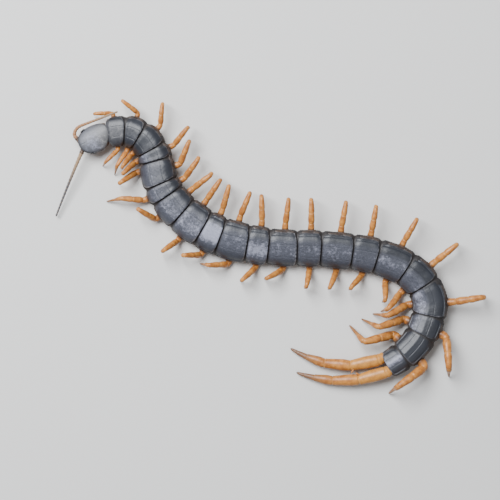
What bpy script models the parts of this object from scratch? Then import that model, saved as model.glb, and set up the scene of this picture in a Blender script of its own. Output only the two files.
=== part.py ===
"""Giant centipede, a still model at life size.

The trunk is a loft of plate-backed segments along one curved line.  Each leg, antenna and
forcipule is a tapered tube that starts face to face with the piece it grows from.
Units are metres.  +Z is up, the floor is z = 0 and the head lies toward -X.
"""
import math

import bmesh
import bpy
import numpy as np
from mathutils import Matrix, Vector

MM = 0.001
GAP = 0.3 * MM
SIDES = {"left": 1, "right": -1}

# Trunk line, from the neck to the rear end of the last segment, as seen from above.
TRUNK_ROUTE = np.array((
    (-47.8, 33.6), (-42.3, 34.2), (-37.2, 32.0), (-33.8, 26.5), (-32.0, 18.6), (-25.9, 10.1),
    (-14.7, 3.2), (-0.1, 0.2), (16.0, -0.5), (30.9, -2.6), (41.5, -7.4), (46.8, -15.5),
    (44.7, -24.8), (39.9, -30.9), (34.1, -34.8))) * MM
ROUTE_SAMPLES = 60
FRAME_REACH = 2.6 * MM
MERGE_DISTANCE = 0.001 * MM

# Relative lengths of the 21 segments: long and short backplates take turns.
SEGMENT_SHARES = (17.8, 15.8, 18.6, 11.9, 23.1, 13.8, 22.4, 25.3, 19.3, 27.5, 21.2, 28.1, 23.9,
                  31.2, 25, 31.2, 24.5, 31.2, 20.2, 27.9, 18.9)
TRUNK_PIECES = ((1, 1), (2, 3), (4, 5), (6, 7), (8, 9), (10, 11), (12, 13), (14, 15), (16, 17),
                (18, 19), (20, 21))

# Half width of the backplates at stations counted in segments from the neck.
WIDTH_STATIONS = (0, 1, 3, 7.5, 9.5, 11.5, 16, 19, 20.4, 21)
HALF_WIDTHS = np.array((3.65, 4.2, 4.7, 5.7, 5.8, 5.3, 5.25, 4.6, 3.95, 3.5)) * MM
FLANK_OVERHANG = 0.4 * MM
CROWN_HEIGHT = 2.9 * MM
BELLY_DEPTH = 2.6 * MM
NECK_CROWN = 1.9 * MM
NECK_BELLY = 1.5 * MM
TAIL_CROWN = 2.2 * MM
TAIL_BELLY = 2.0 * MM
NECK_SPAN = 2.0
TAIL_SPAN = 1.6
AXIS_HEIGHT = 4.2 * MM
ROLL = math.radians(20)
ROLL_STATIONS = (0, 2.5, 8, 10.5, 14, 18.5, 21)
ROLL_SHARES = (0.14, 0.65, 0.65, 1, 1, 0.75, 0.22)

PLATE_EDGE = 0.35 * MM
PLATE_FRONT_WIDTH = 0.93
PLATE_FRONT_SINK = 0.1 * MM
PLATE_REAR_WIDTH = 0.97
PLATE_REAR_RAISE = 0.08 * MM
GROOVE_WIDTH = 0.985
GROOVE_DEPTH = 0.5 * MM
LEG_STATION_SEGMENTS = (1, 2, 3, 5, 6, 12, 19, 20)
LEG_STATIONS = (0.45, 0.45, 0.36, 0.3, 0.42, 0.55, 0.6, 0.68)
LEG_FACET = 0.2
RING_STEP = 0.25 * MM

# Backplate and underside profile, as shares of half width and of crown or belly height.
PLATE_PROFILE = ((0.36, 0.97), (0.68, 0.84), (0.90, 0.60), (1.0, 0.34))
UNDER_RIM = (0.90, 0.16)
FLANK_TOP = 0.1 * MM
FLANK_BOTTOM = 0.56
FLANK_RECESS = (0.80, 0.72)
GROOVE_UNDER_RIM = (1.0, 0.20)
GROOVE_RECESS = (0.93, 0.86)
GROOVE_FLANK_SINK = 0.85 * MM
BELLY_SINK_SHARE = 0.5
BELLY_EDGE = (0.70, 0.94)
BELLY_FLAT = (0.35, 1.0)

# Head
HEAD_LENGTH = 9.0 * MM
HEAD_HALF_WIDTH = 3.95 * MM
HEAD_HEADING = math.radians(205)
HEAD_TOP = 2.0 * MM
HEAD_BOTTOM = 1.5 * MM
HEAD_AXIS_HEIGHT = 4.1 * MM
HEAD_RINGS = (0.0, 0.05, 0.16, 0.36, 0.6, 0.8, 0.93, 1.0)
HEAD_WIDEST = 0.46
HEAD_REAR_ROUNDNESS = 2.1
HEAD_FRONT_ROUNDNESS = 1.8
HEAD_REAR_WIDTH = 0.80
HEAD_FRONT_WIDTH = 0.32
HEAD_REAR_HEIGHT = 0.72
HEAD_FRONT_HEIGHT = 0.5
NECK_BLEND = 0.3
# Head plate and sides, as shares of half width and of top or bottom height.
HEAD_PLATE = ((0.45, 0.95), (0.8, 0.7), (1.0, 0.25))
HEAD_SIDES = ((0.96, 0.0), (0.93, 0.5), (0.7, 1.0))

# Forcipules and the plate that carries them
FORCIPULE_PLATE = np.array((4.9, 5.0, 1.3)) * MM
FORCIPULE_PLATE_EDGE = 0.35 * MM
FORCIPULE_PLATE_FORWARD = 1.05 * MM
FORCIPULE_PLATE_HEIGHT = 1.6 * MM
FORCIPULE_ROOT_SIDE = 1.35 * MM
FORCIPULE_HEIGHT = 1.35 * MM
FORCIPULE_STEPS = np.array((0.9, 0.9, 0.9, 0.8, 0.8, 0.8, 0.7)) * MM
FORCIPULE_HEADINGS = (0, 26, 16, -8, -32, -48, -56)
FORCIPULE_RADII = np.array((0.9, 0.92, 0.9, 0.72, 0.62, 0.5, 0.32, 0.1)) * MM

# Antennae
ANTENNA_ARTICLES = 18
ANTENNA_BASE_RADIUS = 0.62 * MM
ANTENNA_TIP_RADIUS = 0.28 * MM
ANTENNA_SOCKET_SIDE = 1.2 * MM
ANTENNA_SOCKET_FORWARD = 8.4 * MM
ANTENNA_SOCKET_LENGTH = 1.05 * MM
ANTENNA_SOCKET_ROOT = 0.9 * MM
ANTENNA_SOCKET_RADIUS = 0.75 * MM
ANTENNA_SOCKET_SIDES = 10
ANTENNA_HEIGHT = 4.1 * MM
ANTENNA_CURL_POWER = 0.6
ANTENNA_TAPER_POWER = 0.7
ANTENNA_DROP_SHARE = 1 / 3
ARTICLE_SWELL = 0.68
ARTICLE_WAIST = 0.84
ANTENNAE = {
    "left": {"length": 20.3 * MM, "start": 41, "turn": 2, "turn_share": 1.0, "drop": -9},
    "right": {"length": 17.0 * MM, "start": 72, "turn": 114, "turn_share": 0.26, "drop": 16},
}

# Ocelli: four on each side of the head, behind the antenna.
OCELLUS_RADIUS = 0.26 * MM
OCELLI_FORWARD = np.array((6.8, 6.5, 6.15, 5.8)) * MM
OCELLI_RISE = np.array((0.62, 1.0, 0.5, 0.9)) * MM
OCELLI_REACH = 1.04
OCELLI_DRAW_IN = 0.16
OCELLUS_SIDES = 8
OCELLUS_RINGS = 4

# Walking legs: shares of a leg's length, and radii at its middle size.
LEG_LENGTH = 14.5 * MM
LEG_SIZE_STATIONS = (1, 5, 16, 20)
LEG_SIZES = (0.72, 1, 1, 1.41)
LEG_PARTS = {"coxa": 0.03, "trochanter": 0.08, "prefemur": 0.22, "femur": 0.2,
             "knee": 0.08, "tibia": 0.13, "tarsus_1": 0.14, "tarsus_2": 0.07, "claw": 0.05}
LEG_RADII = {"coxa": 0.92 * MM, "trochanter": 0.76 * MM, "prefemur": 0.98 * MM,
             "prefemur_end": 0.78 * MM, "femur": 0.88 * MM, "femur_end": 0.65 * MM,
             "tibia": 0.65 * MM, "tibia_end": 0.48 * MM, "tarsus_1": 0.38 * MM,
             "tarsus_2": 0.26 * MM, "claw": 0.13 * MM}
LEG_ROOT_DROP = -0.9 * MM
# Bends of the trochanter, as shares of the way from outward to the rising prefemur.
TROCHANTER_BENDS = (0.25, 0.5, 0.75)
# Knee heights, and their shares at the front.  The knee bends in steps from the femur's
# pitch down to the fall, both in degrees.
KNEE_HEIGHTS = {"left": 6.2 * MM, "right": 6.9 * MM}
KNEE_STATIONS = (1, 6)
KNEE_SHARES = (0.66, 1)
KNEE_BENDS = (0.25, 0.5, 0.75)
KNEE_FALL = 76
# Pitch that the prefemur rises above, and the femur stays below, the straight line to the knee
LEG_ARCH = 8
LEG_SWELL = 0.7
# Lower leg, from the knee down: podomere, share of it, extra pitch in degrees, radius.
LOWER_LEG = (("tibia", 0.6, 8, "tibia"), ("tibia", 0.4, 8, "tibia_end"),
             ("tarsus_1", 1, 0, "tarsus_1"), ("tarsus_2", 1, -4, "tarsus_2"),
             ("claw", 0.5, 25, "claw"), ("claw", 0.5, 90, "claw"))

# Pose of legs 1 to 20 in degrees.  Sweep is positive toward the tail, and turn is added at
# the knee.
SWEEPS = {
    "right": (-84, -70, -40, -27, -58, -25, 3, -1, -10, 9, -9, 5, -2, 4, -2, 6, 4, -6, 65, 101),
    "left": (-52, -15, 15, 27, 28, -32, -70, -17, -63, -74, -40, -61, -11, -20, -36, 20, 4, 22,
             38, 58),
}
TURNS = {
    "right": (-8, 2, 3, -1, 2, -30, -36, -4, -9, -5, -7, -7, -7, 0, 4, 4, 8, 11, -14, -18),
    "left": (-4, 11, -9, -24, -14, 14, -3, -5, -2, -10, -1, -2, -8, 5, 30, -20, -12, -30, -40,
             -62),
}
# Legs that stand higher or lie flatter than their neighbours: how much higher the knee is.
KNEE_RAISES = {"left": {2: -0.4 * MM, 3: 1.2 * MM, 4: 1.2 * MM, 5: 0.6 * MM, 6: -2.2 * MM,
                        8: 0.4 * MM, 9: 0.3 * MM, 10: -0.9 * MM, 11: -0.4 * MM,
                        12: -0.4 * MM},
               "right": {2: 0.8 * MM, 4: 0.8 * MM, 5: 0.3 * MM, 20: 0.3 * MM}}

# Ultimate legs: podomere lengths, headings from the trunk's rearward direction, and radii.
ULTIMATE_PARTS = {"root": 0.9 * MM, "prefemur": 8.3 * MM, "femur": 7.8 * MM, "tibia": 5.6 * MM,
                  "tarsus_1": 3.0 * MM, "tarsus_2": 1.9 * MM, "claw": 1.0 * MM}
ULTIMATE_HEADINGS = {"root": -4, "prefemur": -18, "femur": -33, "tibia": -46, "tarsus_1": -52,
                     "tarsus_2": -56}
ULTIMATE_BENDS = {"left": 1.1, "right": 0.88}
ULTIMATE_STEPS = (("root", 1, "root"), ("prefemur", 0.1, "root"), ("prefemur", 0.55, "prefemur"),
                  ("prefemur", 0.35, "prefemur_end"), ("femur", 0.6, "femur"),
                  ("femur", 0.4, "femur_end"), ("tibia", 0.5, "tibia"),
                  ("tibia", 0.5, "tibia_end"), ("tarsus_1", 1, "tarsus_1"),
                  ("tarsus_2", 1, "tarsus_2"))
ULTIMATE_CLAW_PITCHES = (40, 90)
ULTIMATE_RADII = {"root": 1.42 * MM, "prefemur": 1.5 * MM, "prefemur_end": 1.25 * MM,
                  "femur": 1.38 * MM, "femur_end": 1.05 * MM, "tibia": 1.1 * MM,
                  "tibia_end": 0.78 * MM, "tarsus_1": 0.6 * MM, "tarsus_2": 0.4 * MM,
                  "claw": 0.14 * MM}
ULTIMATE_SIDES = {"left": 2.7 * MM, "right": 1.55 * MM}
ULTIMATE_ROOT_DROP = 0.1 * MM

# Spines: a spur under each tarsus, spines and a process on the ultimate prefemora, and a
# process behind each coxopleuron.  Lengths are from the root inside the piece to the tip.
SPINE_SIDES = 5
SPINE_TIP_SHARE = 0.2
SPUR_LENGTH = 0.95 * MM
SPUR_RADIUS = 0.25 * MM
SPUR_PITCH = 38
SPUR_POINT = -4
# Share of the prefemur, angle round it from its inner side downward, and size.
ULTIMATE_SPINES = ((0.30, 92, 1.0), (0.55, 84, 1.0), (0.78, 76, 1.0), (0.42, 42, 0.9),
                   (0.66, 34, 0.9), (0.62, 128, 1.0), (0.90, -22, 1.5))
ULTIMATE_SPINE_LENGTH = 1.15 * MM
ULTIMATE_SPINE_RADIUS = 0.3 * MM
ULTIMATE_SPINE_ROOT = 0.78
ULTIMATE_SPINE_LEAN = 42
TAIL_PROCESS_LENGTH = 2.9 * MM
TAIL_PROCESS_RADIUS = 0.5 * MM
TAIL_PROCESS_FORWARD = 1.3 * MM
TAIL_PROCESS_SIDE = 1.55 * MM
TAIL_PROCESS_HEIGHT = 2.5 * MM
TAIL_PROCESS_PITCH = -25

# Search for the pitch that puts a foot on the floor
PITCH_LIMITS = (-10.0, 80.0)
PITCH_STEPS = 40

LEG_SIDES_RESOLUTION = 1
ULTIMATE_SIDES_RESOLUTION = 2

COLOURS = {
    "plate": ((0.060, 0.068, 0.085), 0.36),
    "head": ((0.075, 0.080, 0.092), 0.38),
    "leg": ((0.62, 0.20, 0.045), 0.42),
    "antenna": ((0.22, 0.17, 0.13), 0.5),
    "forcipule": ((0.50, 0.13, 0.04), 0.35),
}


def clear_scene():
    """Remove every object of the open scene."""
    for item in list(bpy.data.objects):
        bpy.data.objects.remove(item, do_unlink=True)


def material(name):
    """Return the Principled material of that name."""
    found = bpy.data.materials.get(name)
    if found:
        return found
    colour, roughness = COLOURS[name]
    made = bpy.data.materials.new(name)
    made.use_nodes = True
    shader = made.node_tree.nodes["Principled BSDF"]
    shader.inputs["Base Color"].default_value = (*colour, 1.0)
    shader.inputs["Roughness"].default_value = roughness
    shader.inputs["Metallic"].default_value = 0.0
    return made


def smooth_route(points, samples):
    """Catmull-Rom curve through the points, with mirrored end points."""
    ends = np.vstack((2 * points[0] - points[1], points, 2 * points[-1] - points[-2]))
    share = np.linspace(0, 1, samples, endpoint=False)[:, None]
    runs = []
    for before, start, stop, after in zip(ends, ends[1:], ends[2:], ends[3:]):
        cubic = -before + 3 * start - 3 * stop + after
        square = 2 * before - 5 * start + 4 * stop - after
        runs.append(0.5 * (2 * start + (stop - before) * share
                           + square * share ** 2 + cubic * share ** 3))
    return np.vstack((*runs, points[-1:]))


class Trunk:
    """Places, directions and cross-sections along the trunk line."""

    def __init__(self):
        self.line = smooth_route(TRUNK_ROUTE, ROUTE_SAMPLES)
        steps = np.linalg.norm(np.diff(self.line, axis=0), axis=1)
        self.distance = np.concatenate(((0,), np.cumsum(steps)))
        shares = np.concatenate(((0,), np.cumsum(SEGMENT_SHARES)))
        self.joints = shares * self.distance[-1] / shares[-1]

    def point(self, distance):
        """Return the point of the line at that distance from the neck."""
        return np.array([np.interp(distance, self.distance, column) for column in self.line.T])

    def frame(self, distance):
        """Return the centre and the rearward, right and up directions at that distance."""
        ahead = self.point(distance + FRAME_REACH)
        behind = self.point(distance - FRAME_REACH)
        rearward = (ahead - behind) / np.linalg.norm(ahead - behind)
        back = np.array((*rearward, 0.0))
        right = np.array((-rearward[1], rearward[0], 0.0))
        up = np.array((0.0, 0.0, 1.0))
        roll = ROLL * np.interp(self.station(distance), ROLL_STATIONS, ROLL_SHARES)
        rolled_right = right * math.cos(roll) + up * math.sin(roll)
        rolled_up = up * math.cos(roll) - right * math.sin(roll)
        centre = np.array((*self.point(distance), AXIS_HEIGHT))
        return centre, back, rolled_right, rolled_up

    def station(self, distance):
        """Return how many segments lie before that distance."""
        return np.interp(distance, self.joints, np.arange(len(self.joints)))

    def leg_distance(self, segment):
        """Return the distance of that segment's leg pair."""
        start, stop = self.joints[segment - 1], self.joints[segment]
        return start + np.interp(segment, LEG_STATION_SEGMENTS, LEG_STATIONS) * (stop - start)

    def half_width(self, distance):
        """Return half the backplate's width."""
        return np.interp(self.station(distance), WIDTH_STATIONS, HALF_WIDTHS)

    def heights(self, distance):
        """Return the crown height and the belly depth, both lower at the neck and the tail."""
        station = self.station(distance)
        last = len(SEGMENT_SHARES)
        stations = (0, NECK_SPAN, last - TAIL_SPAN, last)
        crown = np.interp(station, stations, (NECK_CROWN, CROWN_HEIGHT, CROWN_HEIGHT, TAIL_CROWN))
        belly = np.interp(station, stations, (NECK_BELLY, BELLY_DEPTH, BELLY_DEPTH, TAIL_BELLY))
        return crown, belly

    def ring(self, distance, width_at, plate, sink, flank_sink):
        """Return one closed cross-section of 22 points.

        The plate factor narrows the backplate, sink lowers its surface and the belly's, and
        flank_sink draws the flanks in.
        """
        centre, _, right, up = self.frame(distance)
        half = self.half_width(width_at)
        crown, belly = self.heights(distance)
        plate_half = (half - sink) * plate
        crown = crown - sink
        belly = belly - sink * BELLY_SINK_SHARE
        flank = half + FLANK_OVERHANG - flank_sink
        is_groove = sink == GROOVE_DEPTH
        under = GROOVE_UNDER_RIM if is_groove else UNDER_RIM
        recess = GROOVE_RECESS if is_groove else FLANK_RECESS
        side = [(plate_half * across, crown * rise) for across, rise in PLATE_PROFILE]
        side.append((plate_half * under[0], crown * under[1]))
        side.append((flank, FLANK_TOP))
        side.append((flank, -belly * FLANK_BOTTOM))
        side.append((flank * recess[0], -belly * recess[1]))
        side.append((flank * BELLY_EDGE[0], -belly * BELLY_EDGE[1]))
        side.append((flank * BELLY_FLAT[0], -belly * BELLY_FLAT[1]))
        outline = [(0, crown), *side, (0, -belly), *((-across, rise) for across, rise in side[::-1])]
        return [centre + right * across + up * rise for across, rise in outline]

    def segment_rings(self, segment, is_first, is_last):
        """Return the rings of one segment from its front groove to its rear groove."""
        start, stop = self.joints[segment - 1], self.joints[segment]
        leg = self.leg_distance(segment)
        facet = LEG_FACET * (stop - start)
        plate_front = start + PLATE_EDGE + GAP / 2
        plate_rear = stop - PLATE_EDGE - GAP / 2
        rings = []
        if is_first:
            rings.append(self.ring(start + GAP / 2, start, GROOVE_WIDTH, GROOVE_DEPTH,
                                   GROOVE_FLANK_SINK))
        rings.append(self.ring(plate_front, leg, PLATE_FRONT_WIDTH, PLATE_FRONT_SINK,
                               GROOVE_DEPTH / 2))
        for middle in (max(leg - facet, plate_front + RING_STEP),
                       min(leg + facet, plate_rear - RING_STEP)):
            rings.append(self.ring(middle, leg, 1.0, 0, 0))
        rings.append(self.ring(plate_rear, leg, PLATE_REAR_WIDTH, -PLATE_REAR_RAISE,
                               GROOVE_DEPTH / 2))
        rear = stop - GAP / 2 if is_last else stop
        rings.append(self.ring(rear, stop, GROOVE_WIDTH, GROOVE_DEPTH, GROOVE_FLANK_SINK))
        return rings


def link(item, collection, material_name):
    """Give an object its material and put it in the collection."""
    item.data.materials.append(material(material_name))
    collection.objects.link(item)


def loft(name, rings, collection, material_name):
    """Skin a list of equal closed rings and cap both ends."""
    mesh = bpy.data.meshes.new(name)
    shape = bmesh.new()
    levels = [[shape.verts.new(point) for point in ring] for ring in rings]
    count = len(levels[0])
    for lower, upper in zip(levels, levels[1:]):
        for index in range(count):
            after = (index + 1) % count
            shape.faces.new((lower[index], lower[after], upper[after], upper[index]))
    shape.faces.new(levels[0][::-1])
    shape.faces.new(levels[-1])
    bmesh.ops.triangulate(shape, faces=shape.faces[:], ngon_method="EAR_CLIP")
    bmesh.ops.recalc_face_normals(shape, faces=shape.faces[:])
    shape.to_mesh(mesh)
    shape.free()
    item = bpy.data.objects.new(name, mesh)
    link(item, collection, material_name)
    return item


def tube(name, points, radii, resolution, collection, material_name):
    """Make a tapered tube along the points, as a closed mesh with flat ends."""
    curve = bpy.data.curves.new(name, "CURVE")
    curve.dimensions = "3D"
    curve.bevel_depth = 1.0
    curve.bevel_resolution = resolution
    curve.use_fill_caps = True
    spline = curve.splines.new("POLY")
    spline.points.add(len(points) - 1)
    for knot, point, radius in zip(spline.points, points, radii):
        knot.co = (*point, 1.0)
        knot.radius = radius
    guide = bpy.data.objects.new(name, curve)
    bpy.context.scene.collection.objects.link(guide)
    graph = bpy.context.evaluated_depsgraph_get()
    mesh = bpy.data.meshes.new_from_object(guide.evaluated_get(graph))
    shape = bmesh.new()
    shape.from_mesh(mesh)
    bmesh.ops.remove_doubles(shape, verts=shape.verts[:], dist=MERGE_DISTANCE)
    bmesh.ops.recalc_face_normals(shape, faces=shape.faces[:])
    shape.to_mesh(mesh)
    shape.free()
    bpy.data.objects.remove(guide)
    mesh.materials.clear()
    mesh.name = name
    item = bpy.data.objects.new(name, mesh)
    link(item, collection, material_name)
    return item


def make_trunk(trunk, collection):
    """Make the trunk lengths, each one or two segments long."""
    for first, last in TRUNK_PIECES:
        rings = []
        for segment in range(first, last + 1):
            rings.extend(trunk.segment_rings(segment, segment == first, segment == last))
        numbers = "_".join(f"{number:02d}" for number in sorted({first, last}))
        piece = loft(f"trunk_{numbers}", rings, collection, "plate")
        if last == len(SEGMENT_SHARES):
            fuse(piece, tail_processes(trunk))


def spine(root, along, length, radius):
    """Make one tapered spine from its root."""
    along = Vector(along).normalized()
    bpy.ops.mesh.primitive_cone_add(
        vertices=SPINE_SIDES, radius1=radius, radius2=radius * SPINE_TIP_SHARE, depth=length,
        location=Vector(root) + along * length / 2,
        rotation=along.to_track_quat("Z", "Y").to_euler())
    return bpy.context.active_object


def tail_processes(trunk):
    """Make the pair of pointed processes under the rear end of the trunk."""
    centre, back, right, up = trunk.frame(trunk.distance[-1])
    root = centre - back * TAIL_PROCESS_FORWARD + up * (TAIL_PROCESS_HEIGHT - AXIS_HEIGHT)
    pitch = math.radians(TAIL_PROCESS_PITCH)
    along = back * math.cos(pitch) + up * math.sin(pitch)
    return [spine(root - right * sign * TAIL_PROCESS_SIDE, along, TAIL_PROCESS_LENGTH,
                  TAIL_PROCESS_RADIUS) for sign in SIDES.values()]


class Head:
    """The head's own straight frame, with its origin at the neck."""

    def __init__(self, trunk):
        self.forward = np.array((math.cos(HEAD_HEADING), math.sin(HEAD_HEADING), 0.0))
        self.left = np.array((-self.forward[1], self.forward[0], 0.0))
        self.up = np.array((0.0, 0.0, 1.0))
        self.origin = np.array((*trunk.point(0), 0.0))
        _, back, _, _ = trunk.frame(0)
        self.neck_turn = math.atan2(-back[1], -back[0]) - (HEAD_HEADING - 2 * math.pi)

    def place(self, forward, left, height):
        """Return the point at those distances from the neck on the floor."""
        return self.origin + self.forward * forward + self.left * left + self.up * height

    def heading(self, degrees, pitch=0.0):
        """Return the direction that far to the left of forward and that far up."""
        turn, rise = math.radians(degrees), math.radians(pitch)
        flat = self.forward * math.cos(turn) + self.left * math.sin(turn)
        return flat * math.cos(rise) + self.up * math.sin(rise)


def head_arch(share, rear_share, front_share):
    """Return the head's relative size at a share of its length, round toward both ends."""
    if share < HEAD_WIDEST:
        end, power, away = rear_share, HEAD_REAR_ROUNDNESS, 1 - share / HEAD_WIDEST
    else:
        end, power, away = front_share, HEAD_FRONT_ROUNDNESS, (share - HEAD_WIDEST) / (1 - HEAD_WIDEST)
    return end + (1 - end) * (1 - min(away, 1) ** power) ** (1 / power)


def head_half_width(forward):
    """Return half the head plate's width that far in front of the neck."""
    return HEAD_HALF_WIDTH * head_arch(forward / HEAD_LENGTH, HEAD_REAR_WIDTH, HEAD_FRONT_WIDTH)


def head_rings(head):
    """Return the head's rings: a domed plate whose rim overhangs narrower sides."""
    rings = []
    for share in HEAD_RINGS:
        half = head_half_width(share * HEAD_LENGTH)
        height = head_arch(share, HEAD_REAR_HEIGHT, HEAD_FRONT_HEIGHT)
        top, bottom = HEAD_TOP * height, HEAD_BOTTOM * height
        side = [(half * across, top * rise) for across, rise in HEAD_PLATE]
        side.extend((half * across, -bottom * drop) for across, drop in HEAD_SIDES)
        outline = [(0, top), *side, *((-across, rise) for across, rise in side[::-1])]
        forward = GAP / 2 + share * (HEAD_LENGTH - GAP / 2)
        turn = head.neck_turn * max(0.0, 1 - share / NECK_BLEND)
        rings.append([head.place(forward - across * math.sin(turn), across * math.cos(turn),
                                 HEAD_AXIS_HEIGHT + rise) for across, rise in outline])
    return rings


def make_head(head, collection):
    """Make the head capsule with its antenna sockets and ocelli."""
    capsule = loft("head", head_rings(head), collection, "head")
    extras = []
    for side, sign in SIDES.items():
        along = Vector(head.heading(sign * ANTENNAE[side]["start"]))
        socket = head.place(ANTENNA_SOCKET_FORWARD, sign * ANTENNA_SOCKET_SIDE, ANTENNA_HEIGHT)
        depth = ANTENNA_SOCKET_LENGTH + ANTENNA_SOCKET_ROOT
        centre = Vector(socket) + along * (ANTENNA_SOCKET_LENGTH - ANTENNA_SOCKET_ROOT) / 2
        bpy.ops.mesh.primitive_cylinder_add(
            vertices=ANTENNA_SOCKET_SIDES, radius=ANTENNA_SOCKET_RADIUS, depth=depth,
            location=centre, rotation=along.to_track_quat("Z", "Y").to_euler())
        extras.append(bpy.context.active_object)
        for forward, rise in zip(OCELLI_FORWARD, OCELLI_RISE):
            reach = OCELLI_REACH - OCELLI_DRAW_IN * (rise / HEAD_TOP) ** 2
            across = head_half_width(forward) * reach
            bpy.ops.mesh.primitive_uv_sphere_add(
                segments=OCELLUS_SIDES, ring_count=OCELLUS_RINGS, radius=OCELLUS_RADIUS,
                location=head.place(forward, sign * across, HEAD_AXIS_HEIGHT + rise))
            extras.append(bpy.context.active_object)
    fuse(capsule, extras)


def fuse(base, extras):
    """Join closed meshes to the base by one union and keep its largest closed surface."""
    group = bpy.data.collections.new(base.name + "_extras")
    bpy.context.scene.collection.children.link(group)
    for extra in extras:
        for owner in list(extra.users_collection):
            owner.objects.unlink(extra)
        group.objects.link(extra)
    union = base.modifiers.new("union", "BOOLEAN")
    union.operation = "UNION"
    union.operand_type = "COLLECTION"
    union.collection = group
    union.solver = "EXACT"
    bpy.context.view_layer.update()
    graph = bpy.context.evaluated_depsgraph_get()
    joined = bpy.data.meshes.new_from_object(base.evaluated_get(graph))
    base.modifiers.clear()
    shape = bmesh.new()
    shape.from_mesh(joined)
    keep_largest(shape)
    shape.to_mesh(base.data)
    shape.free()
    bpy.data.meshes.remove(joined)
    for extra in extras:
        bpy.data.objects.remove(extra)
    bpy.data.collections.remove(group)


def keep_largest(shape):
    """Delete all connected surfaces of the shape but the one with the most faces."""
    unseen = set(shape.verts)
    islands = []
    while unseen:
        island = {unseen.pop()}
        edge = set(island)
        while edge:
            edge = {link_edge.other_vert(vert) for vert in edge for link_edge in vert.link_edges}
            edge -= island
            island |= edge
        unseen -= island
        islands.append(island)
    islands.sort(key=len)
    loose = [vert for island in islands[:-1] for vert in island]
    bmesh.ops.delete(shape, geom=loose, context="VERTS")


def make_forcipules(head, collection):
    """Make the plate under the head and the two venom claws in front of it."""
    bpy.ops.mesh.primitive_cube_add(size=1)
    plate = bpy.context.active_object
    plate.name = "forcipule_plate"
    plate.data.transform(Matrix.Diagonal((*FORCIPULE_PLATE, 1.0)))
    plate.location = head.place(FORCIPULE_PLATE_FORWARD, 0, FORCIPULE_PLATE_HEIGHT)
    plate.rotation_euler.z = HEAD_HEADING
    edge = plate.modifiers.new("edge", "BEVEL")
    edge.width = FORCIPULE_PLATE_EDGE
    edge.segments = 2
    for owner in list(plate.users_collection):
        owner.objects.unlink(plate)
    link(plate, collection, "forcipule")
    root_forward = FORCIPULE_PLATE_FORWARD + FORCIPULE_PLATE[0] / 2 + GAP
    for side, sign in SIDES.items():
        points = [head.place(root_forward, sign * FORCIPULE_ROOT_SIDE, FORCIPULE_HEIGHT)]
        for step, heading in zip(FORCIPULE_STEPS, FORCIPULE_HEADINGS):
            points.append(points[-1] + step * head.heading(sign * heading))
        tube(f"forcipule_{side}", points, FORCIPULE_RADII, ULTIMATE_SIDES_RESOLUTION, collection,
             "forcipule")


def make_antennae(head, collection):
    """Make both antennae as rows of articles, each widest near its far end."""
    for side, sign in SIDES.items():
        pose = ANTENNAE[side]
        start = head.heading(sign * pose["start"])
        point = head.place(ANTENNA_SOCKET_FORWARD, sign * ANTENNA_SOCKET_SIDE, ANTENNA_HEIGHT)
        point = point + start * (ANTENNA_SOCKET_LENGTH + GAP)
        points, radii = [point], [ANTENNA_BASE_RADIUS]
        step = pose["length"] / ANTENNA_ARTICLES
        taper = ANTENNA_TIP_RADIUS - ANTENNA_BASE_RADIUS
        for article in range(ANTENNA_ARTICLES):
            share = (article + 0.5) / ANTENNA_ARTICLES
            bent = article / ANTENNA_ARTICLES / pose["turn_share"]
            curl = min(1, bent) ** ANTENNA_CURL_POWER
            pitch = pose["drop"] * min(1, share / ANTENNA_DROP_SHARE)
            along = head.heading(sign * (pose["start"] + pose["turn"] * curl), pitch)
            radius = ANTENNA_BASE_RADIUS + taper * share ** ANTENNA_TAPER_POWER
            points.append(points[-1] + along * step * ARTICLE_SWELL)
            radii.append(radius)
            points.append(points[-1] + along * step * (1 - ARTICLE_SWELL))
            radii.append(radius * ARTICLE_WAIST)
        tube(f"antenna_{side}", points, radii, LEG_SIDES_RESOLUTION, collection, "antenna")


def direction(outward, rearward, sweep, pitch):
    """Return the unit direction at that sweep from outward and that pitch above level."""
    turn, rise = math.radians(sweep), math.radians(pitch)
    flat = outward * math.cos(turn) + rearward * math.sin(turn)
    return np.array((*(flat * math.cos(rise))[:2], math.sin(rise)))


def unit(vector):
    """Return the vector at length one."""
    return vector / np.linalg.norm(vector)


def settle(height, parts):
    """Return the pitch at which parts of given length and extra pitch come down by height."""
    low, high = PITCH_LIMITS
    for _ in range(PITCH_STEPS):
        pitch = (low + high) / 2
        fall = sum(length * math.sin(math.radians(min(pitch + extra, 90)))
                   for length, extra in parts)
        if fall < height:
            low = pitch
        else:
            high = pitch
    return pitch


def leg_length(segment):
    """Return a walking leg's length: shorter in front and longest at the rear."""
    return LEG_LENGTH * np.interp(segment, LEG_SIZE_STATIONS, LEG_SIZES)


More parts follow.
